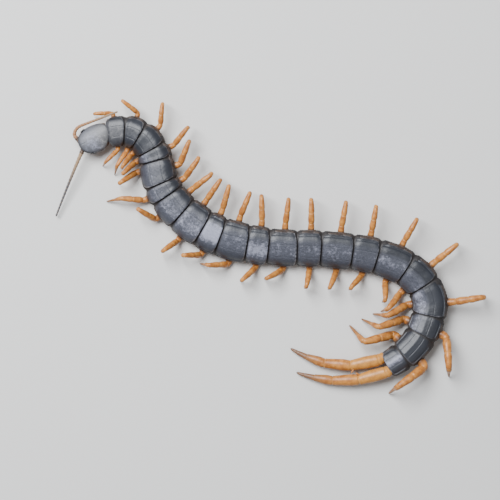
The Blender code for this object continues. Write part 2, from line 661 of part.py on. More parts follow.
def walking_leg(trunk, segment, side):
    """Return the points, radii and spur of one walking leg, from its root to its foot."""
    sweep, turn = SWEEPS[side][segment - 1], TURNS[side][segment - 1]
    centre, back, right, up = trunk.frame(trunk.leg_distance(segment))
    outward = right * -SIDES[side]
    level = unit(outward * (1, 1, 0))
    half = trunk.half_width(trunk.leg_distance(segment)) + FLANK_OVERHANG
    size = leg_length(segment)
    parts = {name: share * size for name, share in LEG_PARTS.items()}
    knee_height = (KNEE_HEIGHTS[side] * np.interp(segment, KNEE_STATIONS, KNEE_SHARES)
                   + KNEE_RAISES[side].get(segment, 0))
    root = centre + outward * (half + GAP) + up * LEG_ROOT_DROP
    rise = math.degrees(math.asin((knee_height - root[2]) / (parts["prefemur"] + parts["femur"])))
    raised = direction(level, back, sweep, rise + LEG_ARCH)
    folded = direction(level, back, sweep, rise - LEG_ARCH)
    steps = [(outward, parts["coxa"], "coxa")]
    for share in TROCHANTER_BENDS:
        steps.append((unit(outward * (1 - share) + raised * share),
                      parts["trochanter"] / len(TROCHANTER_BENDS), "trochanter"))
    steps += [(raised, parts["prefemur"] * LEG_SWELL, "prefemur"),
              (raised, parts["prefemur"] * (1 - LEG_SWELL), "prefemur_end"),
              (folded, parts["femur"] * LEG_SWELL, "femur"),
              (folded, parts["femur"] * (1 - LEG_SWELL), "femur_end")]
    for share in KNEE_BENDS:
        pitch = (rise - LEG_ARCH) * (1 - share) - KNEE_FALL * share
        bend = direction(level, back, sweep + turn * share, pitch)
        steps.append((bend, parts["knee"] / len(KNEE_BENDS), "femur_end"))
    height = root[2] + sum(along[2] * length for along, length, _ in steps)
    pitch = settle(height, [(parts[name] * share, extra) for name, share, extra, _ in LOWER_LEG])
    for name, share, extra, radius in LOWER_LEG:
        down = min(pitch + extra, 90)
        steps.append((direction(level, back, sweep + turn, -down), parts[name] * share, radius))
    thick = size / LEG_LENGTH
    points, radii = [root], [LEG_RADII["coxa"] * thick]
    for along, length, name in steps:
        points.append(points[-1] + along * length)
        radii.append(LEG_RADII[name] * thick)
    points[-1][2] = 0.0
    under = direction(level, back, sweep + turn, -min(pitch + SPUR_PITCH, 90))
    spur = spine(points[SPUR_POINT], under, SPUR_LENGTH * thick, SPUR_RADIUS * thick)
    return points, radii, [spur]


def ultimate_spines(root, along, inner):
    """Make the spines of an ultimate prefemur that starts at root and lies along that way."""
    inner = unit(inner - along * np.dot(inner, along))
    below = np.cross(along, inner)
    below = below * -np.sign(below[2])
    lean = math.radians(ULTIMATE_SPINE_LEAN)
    spines = []
    for share, angle, size in ULTIMATE_SPINES:
        turn = math.radians(angle)
        outward = inner * math.cos(turn) + below * math.sin(turn)
        start = (root + along * ULTIMATE_PARTS["prefemur"] * share
                 + outward * ULTIMATE_RADII["prefemur_end"] * ULTIMATE_SPINE_ROOT)
        spines.append(spine(start, outward * math.cos(lean) + along * math.sin(lean),
                            ULTIMATE_SPINE_LENGTH * size, ULTIMATE_SPINE_RADIUS * size))
    return spines


def ultimate_leg(trunk, side):
    """Return the points, radii and spines of one ultimate leg, which trails behind the trunk."""
    centre, back, right, up = trunk.frame(trunk.distance[-1])
    heading = math.degrees(math.atan2(back[1], back[0]))
    root = (centre - right * SIDES[side] * ULTIMATE_SIDES[side] + back * (GAP / 2)
            - up * ULTIMATE_ROOT_DROP)
    claw = ULTIMATE_PARTS["claw"]
    parts = [(ULTIMATE_PARTS[name] * share, 0) for name, share, _ in ULTIMATE_STEPS[1:]]
    parts.extend((claw / 2, extra) for extra in ULTIMATE_CLAW_PITCHES)
    pitch = settle(root[2], parts)
    axes = np.eye(3)
    points, radii = [root], [ULTIMATE_RADII["root"]]
    for name, share, radius in ULTIMATE_STEPS:
        turn = heading + ULTIMATE_HEADINGS[name] * ULTIMATE_BENDS[side]
        along = direction(axes[0], axes[1], turn, 0 if name == "root" else -pitch)
        points.append(points[-1] + along * ULTIMATE_PARTS[name] * share)
        radii.append(ULTIMATE_RADII[radius])
    for extra in ULTIMATE_CLAW_PITCHES:
        along = direction(axes[0], axes[1], turn, -min(pitch + extra, 90))
        points.append(points[-1] + along * claw / 2)
        radii.append(ULTIMATE_RADII["claw"])
    points[-1][2] = 0.0
    inner = right * SIDES[side]
    spines = ultimate_spines(points[1], unit(points[3] - points[2]), inner)
    return points, radii, spines


def make_legs(trunk, collection):
    """Make the twenty pairs of walking legs and the ultimate pair."""
    for side in SIDES:
        for segment in range(1, len(SWEEPS[side]) + 1):
            points, radii, spines = walking_leg(trunk, segment, side)
            leg = tube(f"leg_{side}_{segment:02d}", points, radii, LEG_SIDES_RESOLUTION,
                       collection, "leg")
            fuse(leg, spines)
        points, radii, spines = ultimate_leg(trunk, side)
        leg = tube(f"leg_{side}_21", points, radii, ULTIMATE_SIDES_RESOLUTION, collection, "leg")
        fuse(leg, spines)


def main():
    """Build every node."""
    clear_scene()
    collection = bpy.data.collections.new("giant_centipede")
    bpy.context.scene.collection.children.link(collection)
    trunk = Trunk()
    head = Head(trunk)
    make_trunk(trunk, collection)
    make_head(head, collection)
    make_forcipules(head, collection)
    make_antennae(head, collection)
    make_legs(trunk, collection)


main()
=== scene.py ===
"""Giant centipede, dressed: membrane, plates, head, antennae, venom claws and legs.

Every surface is worked out from the same trunk line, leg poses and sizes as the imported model, in
metres, with +Z up, the floor at z = 0 and the head toward -X.
"""
import math

import bpy
import numpy as np
from bpy.props import FloatProperty, FloatVectorProperty, PointerProperty
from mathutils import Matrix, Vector


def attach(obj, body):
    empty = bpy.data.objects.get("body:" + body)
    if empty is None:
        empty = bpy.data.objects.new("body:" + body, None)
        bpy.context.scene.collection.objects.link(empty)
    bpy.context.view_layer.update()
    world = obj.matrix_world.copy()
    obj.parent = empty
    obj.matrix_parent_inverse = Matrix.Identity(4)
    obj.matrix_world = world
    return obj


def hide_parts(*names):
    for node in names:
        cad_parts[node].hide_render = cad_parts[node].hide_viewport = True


bl_info = {
    "name": "Giant Centipede",
    "version": (1, 0, 0),
    "blender": (4, 5, 0),
    "location": "3D View > Sidebar > Centipede",
    "description": "Plates, membrane, head, antennae and legs of a giant centipede",
    "category": "Add Mesh",
}

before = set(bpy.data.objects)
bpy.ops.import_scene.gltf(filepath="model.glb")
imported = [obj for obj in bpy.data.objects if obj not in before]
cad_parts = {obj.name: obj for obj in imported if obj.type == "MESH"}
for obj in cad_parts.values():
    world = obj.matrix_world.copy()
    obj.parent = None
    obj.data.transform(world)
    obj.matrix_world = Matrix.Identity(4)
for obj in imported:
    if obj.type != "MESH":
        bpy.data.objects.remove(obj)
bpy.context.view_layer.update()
BODY = "root"

MM = 0.001
GAP = 0.3 * MM
SIDES = {"left": 1, "right": -1}
UP = np.array((0.0, 0.0, 1.0))
SEED = 21

# Trunk line, segment lengths and cross-section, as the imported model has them.
TRUNK_ROUTE = np.array((
    (-47.8, 33.6), (-42.3, 34.2), (-37.2, 32.0), (-33.8, 26.5), (-32.0, 18.6), (-25.9, 10.1),
    (-14.7, 3.2), (-0.1, 0.2), (16.0, -0.5), (30.9, -2.6), (41.5, -7.4), (46.8, -15.5),
    (44.7, -24.8), (39.9, -30.9), (34.1, -34.8))) * MM
ROUTE_SAMPLES = 60
FRAME_REACH = 2.6 * MM  # half the length over which a direction of the line is read
SEGMENT_SHARES = (17.8, 15.8, 18.6, 11.9, 23.1, 13.8, 22.4, 25.3, 19.3, 27.5, 21.2, 28.1, 23.9,
                  31.2, 25, 31.2, 24.5, 31.2, 20.2, 27.9, 18.9)
SEGMENTS = len(SEGMENT_SHARES)
TRUNK_PIECES = ((1, 1), (2, 3), (4, 5), (6, 7), (8, 9), (10, 11), (12, 13), (14, 15), (16, 17),
                (18, 19), (20, 21))
WIDTH_STATIONS = (0, 1, 3, 7.5, 9.5, 11.5, 16, 19, 20.4, 21)
HALF_WIDTHS = np.array((3.65, 4.2, 4.7, 5.7, 5.8, 5.3, 5.25, 4.6, 3.95, 3.5)) * MM
FLANK_OVERHANG = 0.4 * MM
CROWN_HEIGHT = 2.9 * MM
BELLY_DEPTH = 2.6 * MM
NECK_CROWN = 1.9 * MM
NECK_BELLY = 1.5 * MM
TAIL_CROWN = 2.2 * MM
TAIL_BELLY = 2.0 * MM
NECK_SPAN = 2.0
TAIL_SPAN = 1.6
AXIS_HEIGHT = 4.2 * MM
ROLL = math.radians(20)
ROLL_STATIONS = (0, 2.5, 8, 10.5, 14, 18.5, 21)
ROLL_SHARES = (0.14, 0.65, 0.65, 1, 1, 0.75, 0.22)
LEG_STATION_SEGMENTS = (1, 2, 3, 5, 6, 12, 19, 20)
LEG_STATIONS = (0.45, 0.45, 0.36, 0.3, 0.42, 0.55, 0.6, 0.68)

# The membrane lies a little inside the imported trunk, and pinches at the joints
MEMBRANE_ROWS = 1000
MEMBRANE_SIDES = 84
SKIN_FLANK_INSET = 0.12 * MM
SKIN_CROWN_INSET = 0.6 * MM
SKIN_BELLY_INSET = 0.22 * MM
SKIN_FLANK_POWER = 0.72
SKIN_CROWN_POWER = 1.35
SKIN_BELLY_POWER = 0.8
PINCH_WIDTH = 0.55 * MM
PINCH_DEPTH = 0.5 * MM
PINCH_DROP = 0.25 * MM
HIP_HEIGHT = 0.30 * MM

# Shields on the flanks, in segment lengths and radians: place behind the leg, angle above the
# flank's middle, half length, half angle, and height in millimetres
SHIELDS = ((-0.24, 0.42, 0.15, 0.16, 0.10), (0.20, 0.40, 0.13, 0.15, 0.10),
           (0.02, -0.75, 0.22, 0.16, 0.08))
BREATHING_HOLE = (0.19, 0.40, 0.055, 0.055, 0.13)
BREATHING_SEGMENTS = (3, 5, 8, 10, 12, 14, 16, 18, 20)

# Head
HEAD_LENGTH = 9.0 * MM
HEAD_HALF_WIDTH = 3.95 * MM
HEAD_HEADING = math.radians(205)
HEAD_TOP = 2.0 * MM
HEAD_BOTTOM = 1.5 * MM
HEAD_AXIS_HEIGHT = 4.1 * MM
HEAD_WIDEST = 0.46
HEAD_REAR_ROUNDNESS = 2.1
HEAD_FRONT_ROUNDNESS = 1.8
HEAD_REAR_WIDTH = 0.80
HEAD_FRONT_WIDTH = 0.32
HEAD_REAR_HEIGHT = 0.72
HEAD_FRONT_HEIGHT = 0.5
NECK_BLEND = 0.3
HEAD_GRID = 101
HEAD_LAP = 0.5 * MM
HEAD_NOSE = 0.1 * MM
HEAD_BRIM = 0.06 * MM
HEAD_PLATE_THICKNESS = 0.3 * MM
HEAD_EDGE_DROP = 0.2 * MM
HEAD_FURROW_DEPTH = 0.09 * MM
HEAD_FURROW_WIDTH = 0.12 * MM
HEAD_WAVE = 0.05 * MM
HEAD_GRAIN = 0.008 * MM
CAPSULE_ROWS = 60
CAPSULE_SIDES = 56
CAPSULE_INSET = 0.22 * MM
CAPSULE_WAVE = 0.03 * MM

# Claws under the head and the plate that carries them
JAW_PLATE_LENGTH = 4.9 * MM
JAW_PLATE_FORWARD = 1.05 * MM
JAW_PLATE_FRONT = JAW_PLATE_FORWARD + JAW_PLATE_LENGTH / 2
JAW_PLATE_GRID = (44, 53)
JAW_PLATE_RISE = 0.25 * MM
JAW_PLATE_HALF_DEPTH = 0.62 * MM
JAW_PLATE_BOW = 0.35 * MM
JAW_GROOVE_DEPTH = 0.12 * MM
JAW_PLATE_END_DROP = 0.1 * MM
JAW_PLATE_WAVE = 0.03 * MM
JAW_ROOT_SIDE = 1.35 * MM
JAW_HEIGHT = 1.35 * MM
JAW_STEPS = np.array((0.9, 0.9, 0.9, 0.8, 0.8, 0.8, 0.7)) * MM
JAW_HEADINGS = (0, 26, 16, -8, -32, -48, -56)
JAW_JOINT_WIDTH = 0.12 * MM
JAW_WAIST = 0.16
JAW_TEETH = np.array(((0.12, 0.62), (0.25, 0.57), (0.38, 0.52), (0.51, 0.47))) * MM
JAW_TOOTH_RADIUS = 0.11 * MM
JAW_RADII = np.array((0.9, 0.92, 0.9, 0.72, 0.62, 0.5, 0.32, 0.1)) * MM

# Mouthparts above them: forward, to the side and up
PALP_ROUTE = np.array(((2.4, 0.9, 2.75), (4.2, 1.6, 2.75), (5.6, 1.5, 2.7), (6.7, 0.7, 2.75))) * MM
PALP_RADII = np.array((0.36, 0.4, 0.34, 0.16)) * MM
LOBE_PLACE = np.array((6.3, 0.45, 3.0)) * MM
LOBE_AXES = np.array((1.0, 0.42, 0.38)) * MM

# Antennae
ARTICLES = 18
ANTENNA_BASE_RADIUS = 0.62 * MM
ANTENNA_TIP_RADIUS = 0.28 * MM
ANTENNA_SOCKET_SIDE = 1.2 * MM
ANTENNA_SOCKET_FORWARD = 8.4 * MM
ANTENNA_SOCKET_LENGTH = 1.05 * MM
SOCKET_RING_LENGTH = 2.4 * MM
SOCKET_RING_SINK = 0.9 * MM
ANTENNA_HEIGHT = 4.1 * MM
ANTENNA_CURL_POWER = 0.6
ANTENNA_TAPER_POWER = 0.7
ANTENNA_DROP_SHARE = 1 / 3
ANTENNAE = {
    "left": {"length": 20.3 * MM, "start": 41, "turn": 2, "turn_share": 1.0, "drop": -9},
    "right": {"length": 17.0 * MM, "start": 72, "turn": 114, "turn_share": 0.26, "drop": 16},
}
OCELLUS_RADIUS = 0.26 * MM
OCELLI_FORWARD = np.array((6.8, 6.5, 6.15, 5.8)) * MM
OCELLI_RISE = np.array((0.62, 1.0, 0.5, 0.9)) * MM
OCELLI_REACH = 1.04
OCELLI_DRAW_IN = 0.16

# Walking legs
LEG_LENGTH = 14.5 * MM
LEG_SIZE_STATIONS = (1, 5, 16, 20)
LEG_SIZES = (0.72, 1, 1, 1.41)
LEG_PARTS = {"coxa": 0.03, "trochanter": 0.08, "prefemur": 0.22, "femur": 0.2,
             "knee": 0.08, "tibia": 0.13, "tarsus_1": 0.14, "tarsus_2": 0.07, "claw": 0.05}
TROCHANTER_BENDS = (0.25, 0.5, 0.75)
KNEE_HEIGHTS = {"left": 6.2 * MM, "right": 6.9 * MM}
KNEE_STATIONS = (1, 6)
KNEE_SHARES = (0.66, 1)
KNEE_BENDS = (0.25, 0.5, 0.75)
KNEE_FALL = 76
LEG_ARCH = 8
LEG_ROOT_DROP = -0.9 * MM
LOWER_LEG = (("tibia", 8), ("tarsus_1", 0), ("tarsus_2", -4), ("claw", 25), ("claw", 90))
SWEEPS = {
    "right": (-84, -70, -40, -27, -58, -25, 3, -1, -10, 9, -9, 5, -2, 4, -2, 6, 4, -6, 65, 101),
    "left": (-52, -15, 15, 27, 28, -32, -70, -17, -63, -74, -40, -61, -11, -20, -36, 20, 4, 22,
             38, 58),
}
TURNS = {
    "right": (-8, 2, 3, -1, 2, -30, -36, -4, -9, -5, -7, -7, -7, 0, 4, 4, 8, 11, -14, -18),
    "left": (-4, 11, -9, -24, -14, 14, -3, -5, -2, -10, -1, -2, -8, 5, 30, -20, -12, -30, -40,
             -62),
}
KNEE_RAISES = {"left": {2: -0.4 * MM, 3: 1.2 * MM, 4: 1.2 * MM, 5: 0.6 * MM, 6: -2.2 * MM,
                        8: 0.4 * MM, 9: 0.3 * MM, 10: -0.9 * MM, 11: -0.4 * MM,
                        12: -0.4 * MM},
               "right": {2: 0.8 * MM, 4: 0.8 * MM, 5: 0.3 * MM, 20: 0.3 * MM}}
PITCH_LIMITS = (-10.0, 80.0)
PITCH_STEPS = 40
# Profiles of the legs: corner number with the share of the way to the next corner, millimetres
# beyond it, radius in millimetres and place on the finish from 0 at the root to 1 at the claw
WALKING_PROFILE = ((0, 0, 1.0, 0), (1, 0, 0.98, 0.02), (5, 0, 0.84, 0.14), (5.35, 0, 1.0, 0.2),
                   (6, 0, 0.84, 0.36), (6.3, 0, 0.91, 0.42), (7, 0, 0.72, 0.58),
                   (10, 0, 0.64, 0.63), (10.4, 0, 0.62, 0.7), (11, 0, 0.44, 0.78),
                   (11, 0.3, 0.40, 0.8), (12, 0, 0.30, 0.92), (13, 0, 0.17, 1.0))
WALKING_JOINTS = (5, 6, 8.5, 11, 12)
WALKING_JOINT_WIDTH = 0.11 * MM

# Ultimate legs
ULTIMATE_PARTS = {"root": 0.9 * MM, "prefemur": 8.3 * MM, "femur": 7.8 * MM, "tibia": 5.6 * MM,
                  "tarsus_1": 3.0 * MM, "tarsus_2": 1.9 * MM, "claw": 1.0 * MM}
ULTIMATE_HEADINGS = {"root": -4, "prefemur": -18, "femur": -33, "tibia": -46, "tarsus_1": -52,
                     "tarsus_2": -56}
ULTIMATE_BENDS = {"left": 1.1, "right": 0.88}
ULTIMATE_CLAW_PITCHES = (40, 90)
ULTIMATE_SIDES = {"left": 2.7 * MM, "right": 1.55 * MM}
ULTIMATE_ROOT_DROP = 0.1 * MM
# Each spine's place along the prefemur, angle round it from its inner side downward, and size
ULTIMATE_SPINES = ((0.30, 92, 1.0), (0.55, 84, 1.0), (0.78, 76, 1.0), (0.42, 42, 0.9),
                   (0.66, 34, 0.9), (0.62, 128, 1.0), (0.90, -22, 1.5))
ULTIMATE_SPINE_LEAN = math.radians(42)
ULTIMATE_PROFILE = ((0, 0, 1.42, 0.12), (1, 0, 1.60, 0.12), (2, 0, 1.76, 0.14),
                    (2.5, 0, 1.85, 0.2), (3, 0, 1.52, 0.36), (3.3, 0, 1.70, 0.42),
                    (4, 0, 1.36, 0.58), (4.35, 0, 1.42, 0.63), (5, 0, 0.94, 0.78),
                    (5, 0.4, 0.84, 0.8), (6, 0, 0.60, 0.92), (7, 0, 0.34, 1.0))
ULTIMATE_JOINT_WIDTH = 0.18 * MM

# Tail end: how far each form lies to the side, below and in front, and how large it is
PROCESS_SIDE = 1.55 * MM
PROCESS_DROP = 1.70 * MM
PROCESS_LAP = 1.3 * MM
PROCESS_PITCH = math.radians(25)
PROCESS_LENGTH = 2.9 * MM
PROCESS_RADIUS = 0.5 * MM
POINT_LENGTH = 0.45 * MM
POINT_RADIUS = 0.12 * MM
POINT_LAP = 0.4 * MM
LAST_FLANK_INSET = 0.1 * MM
LAST_FLANK_LAP = 1.7 * MM
LAST_FLANK_DROP = 0.45 * MM
LAST_FLANK_AXES = np.array((2.3, 1.45, 1.6)) * MM
END_BACK = 0.05 * MM
END_DROP = 0.5 * MM
END_AXES = np.array((1.0, 0.38, 0.9)) * MM

# Camera, from the photograph's framing
VIEW_CENTRE = (-5.94 * MM, -0.71 * MM)
VIEW_WIDTH = 146.5 * MM
CAMERA_HEIGHT = 450 * MM
VIEW_LEVEL = 5 * MM
SENSOR = 36.0

# Light and floor
LIGHTS = {"key": ((-0.24, 0.26, 0.54), 0.40, 11.3, (0.94, 0.965, 1.0)),
          "fill": ((0.30, -0.35, 0.60), 0.6, 0.8, (1.0, 0.98, 0.95))}
SKY_COLOUR = (0.80, 0.85, 0.92, 1)
SKY_STRENGTH = 0.30
FLOOR_REACH = 3.0
FLOOR_DROP = 0.02 * MM
FLOOR_COLOUR = (0.62, 0.61, 0.59, 1.0)
FLOOR_ROUGHNESS = 0.7


class CentipedeTrunkSettings(bpy.types.PropertyGroup):
    """Sizes of the trunk's membrane and plates."""

    plate_thickness: FloatProperty(
        name="Plate thickness", description="Thickness of a backplate", default=0.28 * MM,
        min=0.1 * MM, max=0.5 * MM, precision=5, unit="LENGTH")
    plate_gap: FloatProperty(
        name="Plate gap", description="Gap between one backplate and the next",
        default=0.42 * MM, min=0.1 * MM, max=1.0 * MM, precision=5, unit="LENGTH")
    rim_height: FloatProperty(
        name="Side rim", description="Height of the raised side rim of the rear backplates",
        default=0.16 * MM, min=0.0, max=0.3 * MM, precision=5, unit="LENGTH")
    suture_depth: FloatProperty(
        name="Suture depth", description="Depth of the paired lines along a backplate",
        default=0.06 * MM, min=0.0, max=0.2 * MM, precision=5, unit="LENGTH")
    fold_height: FloatProperty(
        name="Fold height", description="Height of the small folds in the flank membrane",
        default=0.07 * MM, min=0.0, max=0.2 * MM, precision=5, unit="LENGTH")


class CentipedeLimbSettings(bpy.types.PropertyGroup):
    """Sizes of legs, antennae and venom claws."""

    waist: FloatProperty(
        name="Joint waist", description="Share by which a leg narrows at a joint",
        default=0.13, min=0.0, max=0.4, subtype="FACTOR")
    flare: FloatProperty(
        name="Joint flare", description="Share by which a leg widens just before a joint",
        default=0.03, min=0.0, max=0.2, subtype="FACTOR")
    spine_length: FloatProperty(
        name="Spine length", description="Length of a spine on an ultimate prefemur",
        default=0.85 * MM, min=0.2 * MM, max=1.5 * MM, precision=5, unit="LENGTH")


class CentipedeColourSettings(bpy.types.PropertyGroup):
    """Colours of the finishes."""

    slate: FloatVectorProperty(
        name="Slate", description="Colour of the backplates", subtype="COLOR", size=3,
        default=(0.020, 0.022, 0.029), min=0.0, max=1.0)
    # Lavender grey of the dust on the plates, which also serves as a painted sheen on their lit sides
    dust: FloatVectorProperty(
        name="Dust and sheen", description="Colour of the dust on the plates", subtype="COLOR", size=3,
        default=(0.297, 0.304, 0.380), min=0.0, max=1.0)
    head: FloatVectorProperty(
        name="Head", description="Colour of the head plate", subtype="COLOR", size=3,
        default=(0.075, 0.077, 0.083), min=0.0, max=1.0)
    membrane: FloatVectorProperty(
        name="Membrane", description="Colour of the soft flanks", subtype="COLOR", size=3,
        default=(0.013, 0.011, 0.011), min=0.0, max=1.0)
    orange: FloatVectorProperty(
        name="Orange", description="Colour of the legs", subtype="COLOR", size=3,
        default=(0.49, 0.195, 0.039), min=0.0, max=1.0)
    tan: FloatVectorProperty(
        name="Tan", description="Colour of the leg joints", subtype="COLOR", size=3,
        default=(0.66, 0.37, 0.12), min=0.0, max=1.0)
    belly: FloatVectorProperty(
        name="Belly", description="Colour of the breastplates", subtype="COLOR", size=3,
        default=(0.16, 0.095, 0.045), min=0.0, max=1.0)


# Surfaces as arrays

def unit(vectors):
    """Each vector over its own length."""
    return vectors / np.maximum(np.linalg.norm(vectors, axis=-1, keepdims=True), 1e-12)


def smooth_step(low, high, value):
    """Rise from 0 to 1 between low and high as 3 t squared minus 2 t cubed."""
    share = np.clip((value - low) / (high - low), 0, 1)
    return share * share * (3 - 2 * share)


def bump(value, centre, width):
    """Bell curve of height 1: e to the minus squared distance from the centre over the width."""
    return np.exp(-((value - centre) / width) ** 2)


def signed_power(value, power):
    """The value's size to a power, with the value's own sign."""
    return np.sign(value) * np.abs(value) ** power


def ripple(along, across, seed, waves=9, finest=1.0):
    """Gentle unevenness from -1 to 1: the mean of sine waves with seeded headings and phases."""
    random = np.random.default_rng(SEED + seed)
    heading = random.uniform(0, 2 * math.pi, waves)
    pitch = 2 * math.pi / (finest * MM * random.uniform(1, 4, waves))
    phase = random.uniform(0, 2 * math.pi, waves)
    total = sum(np.sin(pitch[i] * (along * math.cos(heading[i]) + across * math.sin(heading[i]))
                       + phase[i]) for i in range(waves))
    return total / waves * 1.6


def mesh_grid(rows, columns, low=-1.0, high=1.0):
    """Parameters u from 0 to 1 down the rows and v from low to high along the columns."""
    return np.meshgrid(np.linspace(0, 1, rows), np.linspace(low, high, columns), indexing="ij")


def tube_grid(rows, sides):
    """Parameters u from 0 to 1 along a tube and the angle round it, its last column left open."""
    share, angle = mesh_grid(rows, sides + 1, 0, 2 * math.pi)
    return share[:, :-1], angle[:, :-1]


def quads(rows, columns, wraps_rows=False, wraps_columns=False):
    """Corner numbers of every cell of a grid whose points are numbered row by row."""
    row = np.arange(rows if wraps_rows else rows - 1)
    column = np.arange(columns if wraps_columns else columns - 1)
    row, column = np.meshgrid(row, column, indexing="ij")
    below, beside = (row + 1) % rows, (column + 1) % columns
    corners = (row * columns + column, row * columns + beside,
               below * columns + beside, below * columns + column)
    return np.stack(corners, axis=-1).reshape(-1, 4)


class Shape:
    """A closed surface: points, faces of three or four corners, and marks on its points."""

    def __init__(self, points, faces, **marks):
        self.points = points.reshape(-1, 3)
        self.faces = faces
        self.marks = {name: np.broadcast_to(mark, len(self.points)).ravel() if np.ndim(mark) == 0
                      else np.asarray(mark, float).ravel() for name, mark in marks.items()}
        if self.volume() < 0:
            self.faces = [corners[:, ::-1] for corners in self.faces]

    def volume(self):
        """Signed volume: a sixth of the triple product of each triangle's corners, summed."""
        middle = self.points.mean(axis=0)
        total = 0.0
        for corners in self.faces:
            for second in range(1, corners.shape[1] - 1):
                a, b, c = (self.points[corners[:, i]] - middle for i in (0, second, second + 1))
                total += np.einsum("ij,ij->i", a, np.cross(b, c)).sum() / 6
        return total


def closed_tube(rings, **marks):
    """Close a grid of rings with a fan of triangles at each end."""
    rows, sides = rings.shape[:2]
    points = np.vstack((rings.reshape(-1, 3), rings[0].mean(axis=0), rings[-1].mean(axis=0)))
    around = np.arange(sides)
    after = (around + 1) % sides
    last = (rows - 1) * sides
    front = np.stack((np.full(sides, rows * sides), after, around), axis=-1)
    rear = np.stack((np.full(sides, rows * sides + 1), last + around, last + after), axis=-1)
    faces = [quads(rows, sides, wraps_columns=True), np.vstack((front, rear))]
    full = {}
    for name, mark in marks.items():
        mark = np.broadcast_to(mark, (rows, sides))
        full[name] = np.concatenate((mark.ravel(), mark[0, :1], mark[-1, :1]))
    return Shape(points, faces, **full)


def grid_normals(points):
    """Unit normals of a grid: the cross product of its two central differences."""
    return unit(np.cross(np.gradient(points, axis=1), np.gradient(points, axis=0)))


def shell(points, thickness, **marks):
    """Give an open grid a second face, thickness below it along its normals, and a rim."""
    rows, columns = points.shape[:2]
    normals = grid_normals(points)
    if normals[..., 2].mean() < 0:
        normals = -normals
    thickness = np.broadcast_to(np.asarray(thickness, float), (rows, columns))
    return two_faced(points, points - normals * thickness[..., None], **marks)


def two_faced(upper, lower, **marks):
    """Join two equal grids along their borders into one closed shape."""
    rows, columns = upper.shape[:2]
    number = np.arange(rows * columns).reshape(rows, columns)
    border = np.concatenate((number[0, :-1], number[:-1, -1], number[-1, :0:-1],
                             number[:0:-1, 0]))
    after = np.roll(border, -1)
    offset = rows * columns
    rim = np.stack((border, after, after + offset, border + offset), axis=-1)
    face = quads(rows, columns)
    doubled = {name: np.tile(np.broadcast_to(mark, (rows, columns)).ravel(), 2)
               for name, mark in marks.items()}
    points = np.concatenate((upper.reshape(-1, 3), lower.reshape(-1, 3)))
    return Shape(points, [face[:, ::-1], face + offset, rim], **doubled)


def sweep(path, radii, sides, reference, flatten=1.0, **marks):
    """Carry an oval along a path: centre plus side times cosine and top times sine of a turn.

    The side is square to the path and to the reference, and flatten scales the top.
    """
    along = unit(np.gradient(path, axis=0))
    side = unit(np.cross(along, np.broadcast_to(reference, along.shape)))
    top = np.cross(side, along)
    turn = np.linspace(0, 2 * math.pi, sides, endpoint=False)
    radii = np.asarray(radii)[:, None, None]
    rings = (path[:, None] + radii * (side[:, None] * np.cos(turn)[None, :, None]
                                      + flatten * top[:, None] * np.sin(turn)[None, :, None]))
    return closed_tube(rings, **{name: np.asarray(mark)[:, None] for name, mark in marks.items()})


def spike(root, way, length, radius, sides=8, rows=7, **marks):
    """A straight spine: radius times the root of what is left to the tip."""
    share = np.linspace(0, 1, rows)
    way = unit(np.asarray(way, float))
    path = root + np.outer(share, way * length)
    radii = radius * np.sqrt(np.clip(1.02 - share, 0, 1))
    reference = (1, 0, 0) if abs(way[2]) > 0.8 else UP
    return sweep(path, radii, sides, reference, **{name: np.full(rows, mark)
                                                   for name, mark in marks.items()})


def ellipsoid(centre, axes, rows=12, sides=16, **marks):
    """Centre plus the first axis times cosine and the other two times sine of the polar angle."""
    polar = np.linspace(0.04, math.pi - 0.04, rows)[:, None, None]
    turn = np.linspace(0, 2 * math.pi, sides, endpoint=False)[None, :, None]
    first, second, third = (np.asarray(axis, float) for axis in axes)
    rings = centre + first * np.cos(polar) + np.sin(polar) * (second * np.cos(turn)
                                                              + third * np.sin(turn))
    return closed_tube(rings, **marks)


def make_piece(name, shapes, finish, replaced=()):
    """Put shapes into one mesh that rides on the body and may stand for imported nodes."""
    offset = 0
    points, faces = [], []
    for shape in shapes:
        points.append(shape.points)
        for corners in shape.faces:
            faces.extend((corners + offset).tolist())
        offset += len(shape.points)
    mesh = bpy.data.meshes.new(name)
    mesh.from_pydata(np.vstack(points).tolist(), (), faces)
    for mark in sorted({mark for shape in shapes for mark in shape.marks}):
        values = np.concatenate([shape.marks.get(mark, np.zeros(len(shape.points)))
                                 for shape in shapes])
        mesh.attributes.new(mark, "FLOAT", "POINT").data.foreach_set("value", values)
    mesh.shade_smooth()
    mesh.materials.append(finish)
    item = bpy.data.objects.new(name, mesh)
    bpy.context.scene.collection.objects.link(item)
    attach(item, BODY)
    if replaced:
        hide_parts(*replaced)


# The trunk line and its membrane

def smooth_route(points, samples):
    """Catmull-Rom curve through the points, with mirrored end points."""
    ends = np.vstack((2 * points[0] - points[1], points, 2 * points[-1] - points[-2]))
    share = np.linspace(0, 1, samples, endpoint=False)[:, None]
    runs = []
    for before, start, stop, after in zip(ends, ends[1:], ends[2:], ends[3:]):
        cubic = -before + 3 * start - 3 * stop + after
        square = 2 * before - 5 * start + 4 * stop - after
        runs.append(0.5 * (2 * start + (stop - before) * share
                           + square * share ** 2 + cubic * share ** 3))
    return np.vstack((*runs, points[-1:]))


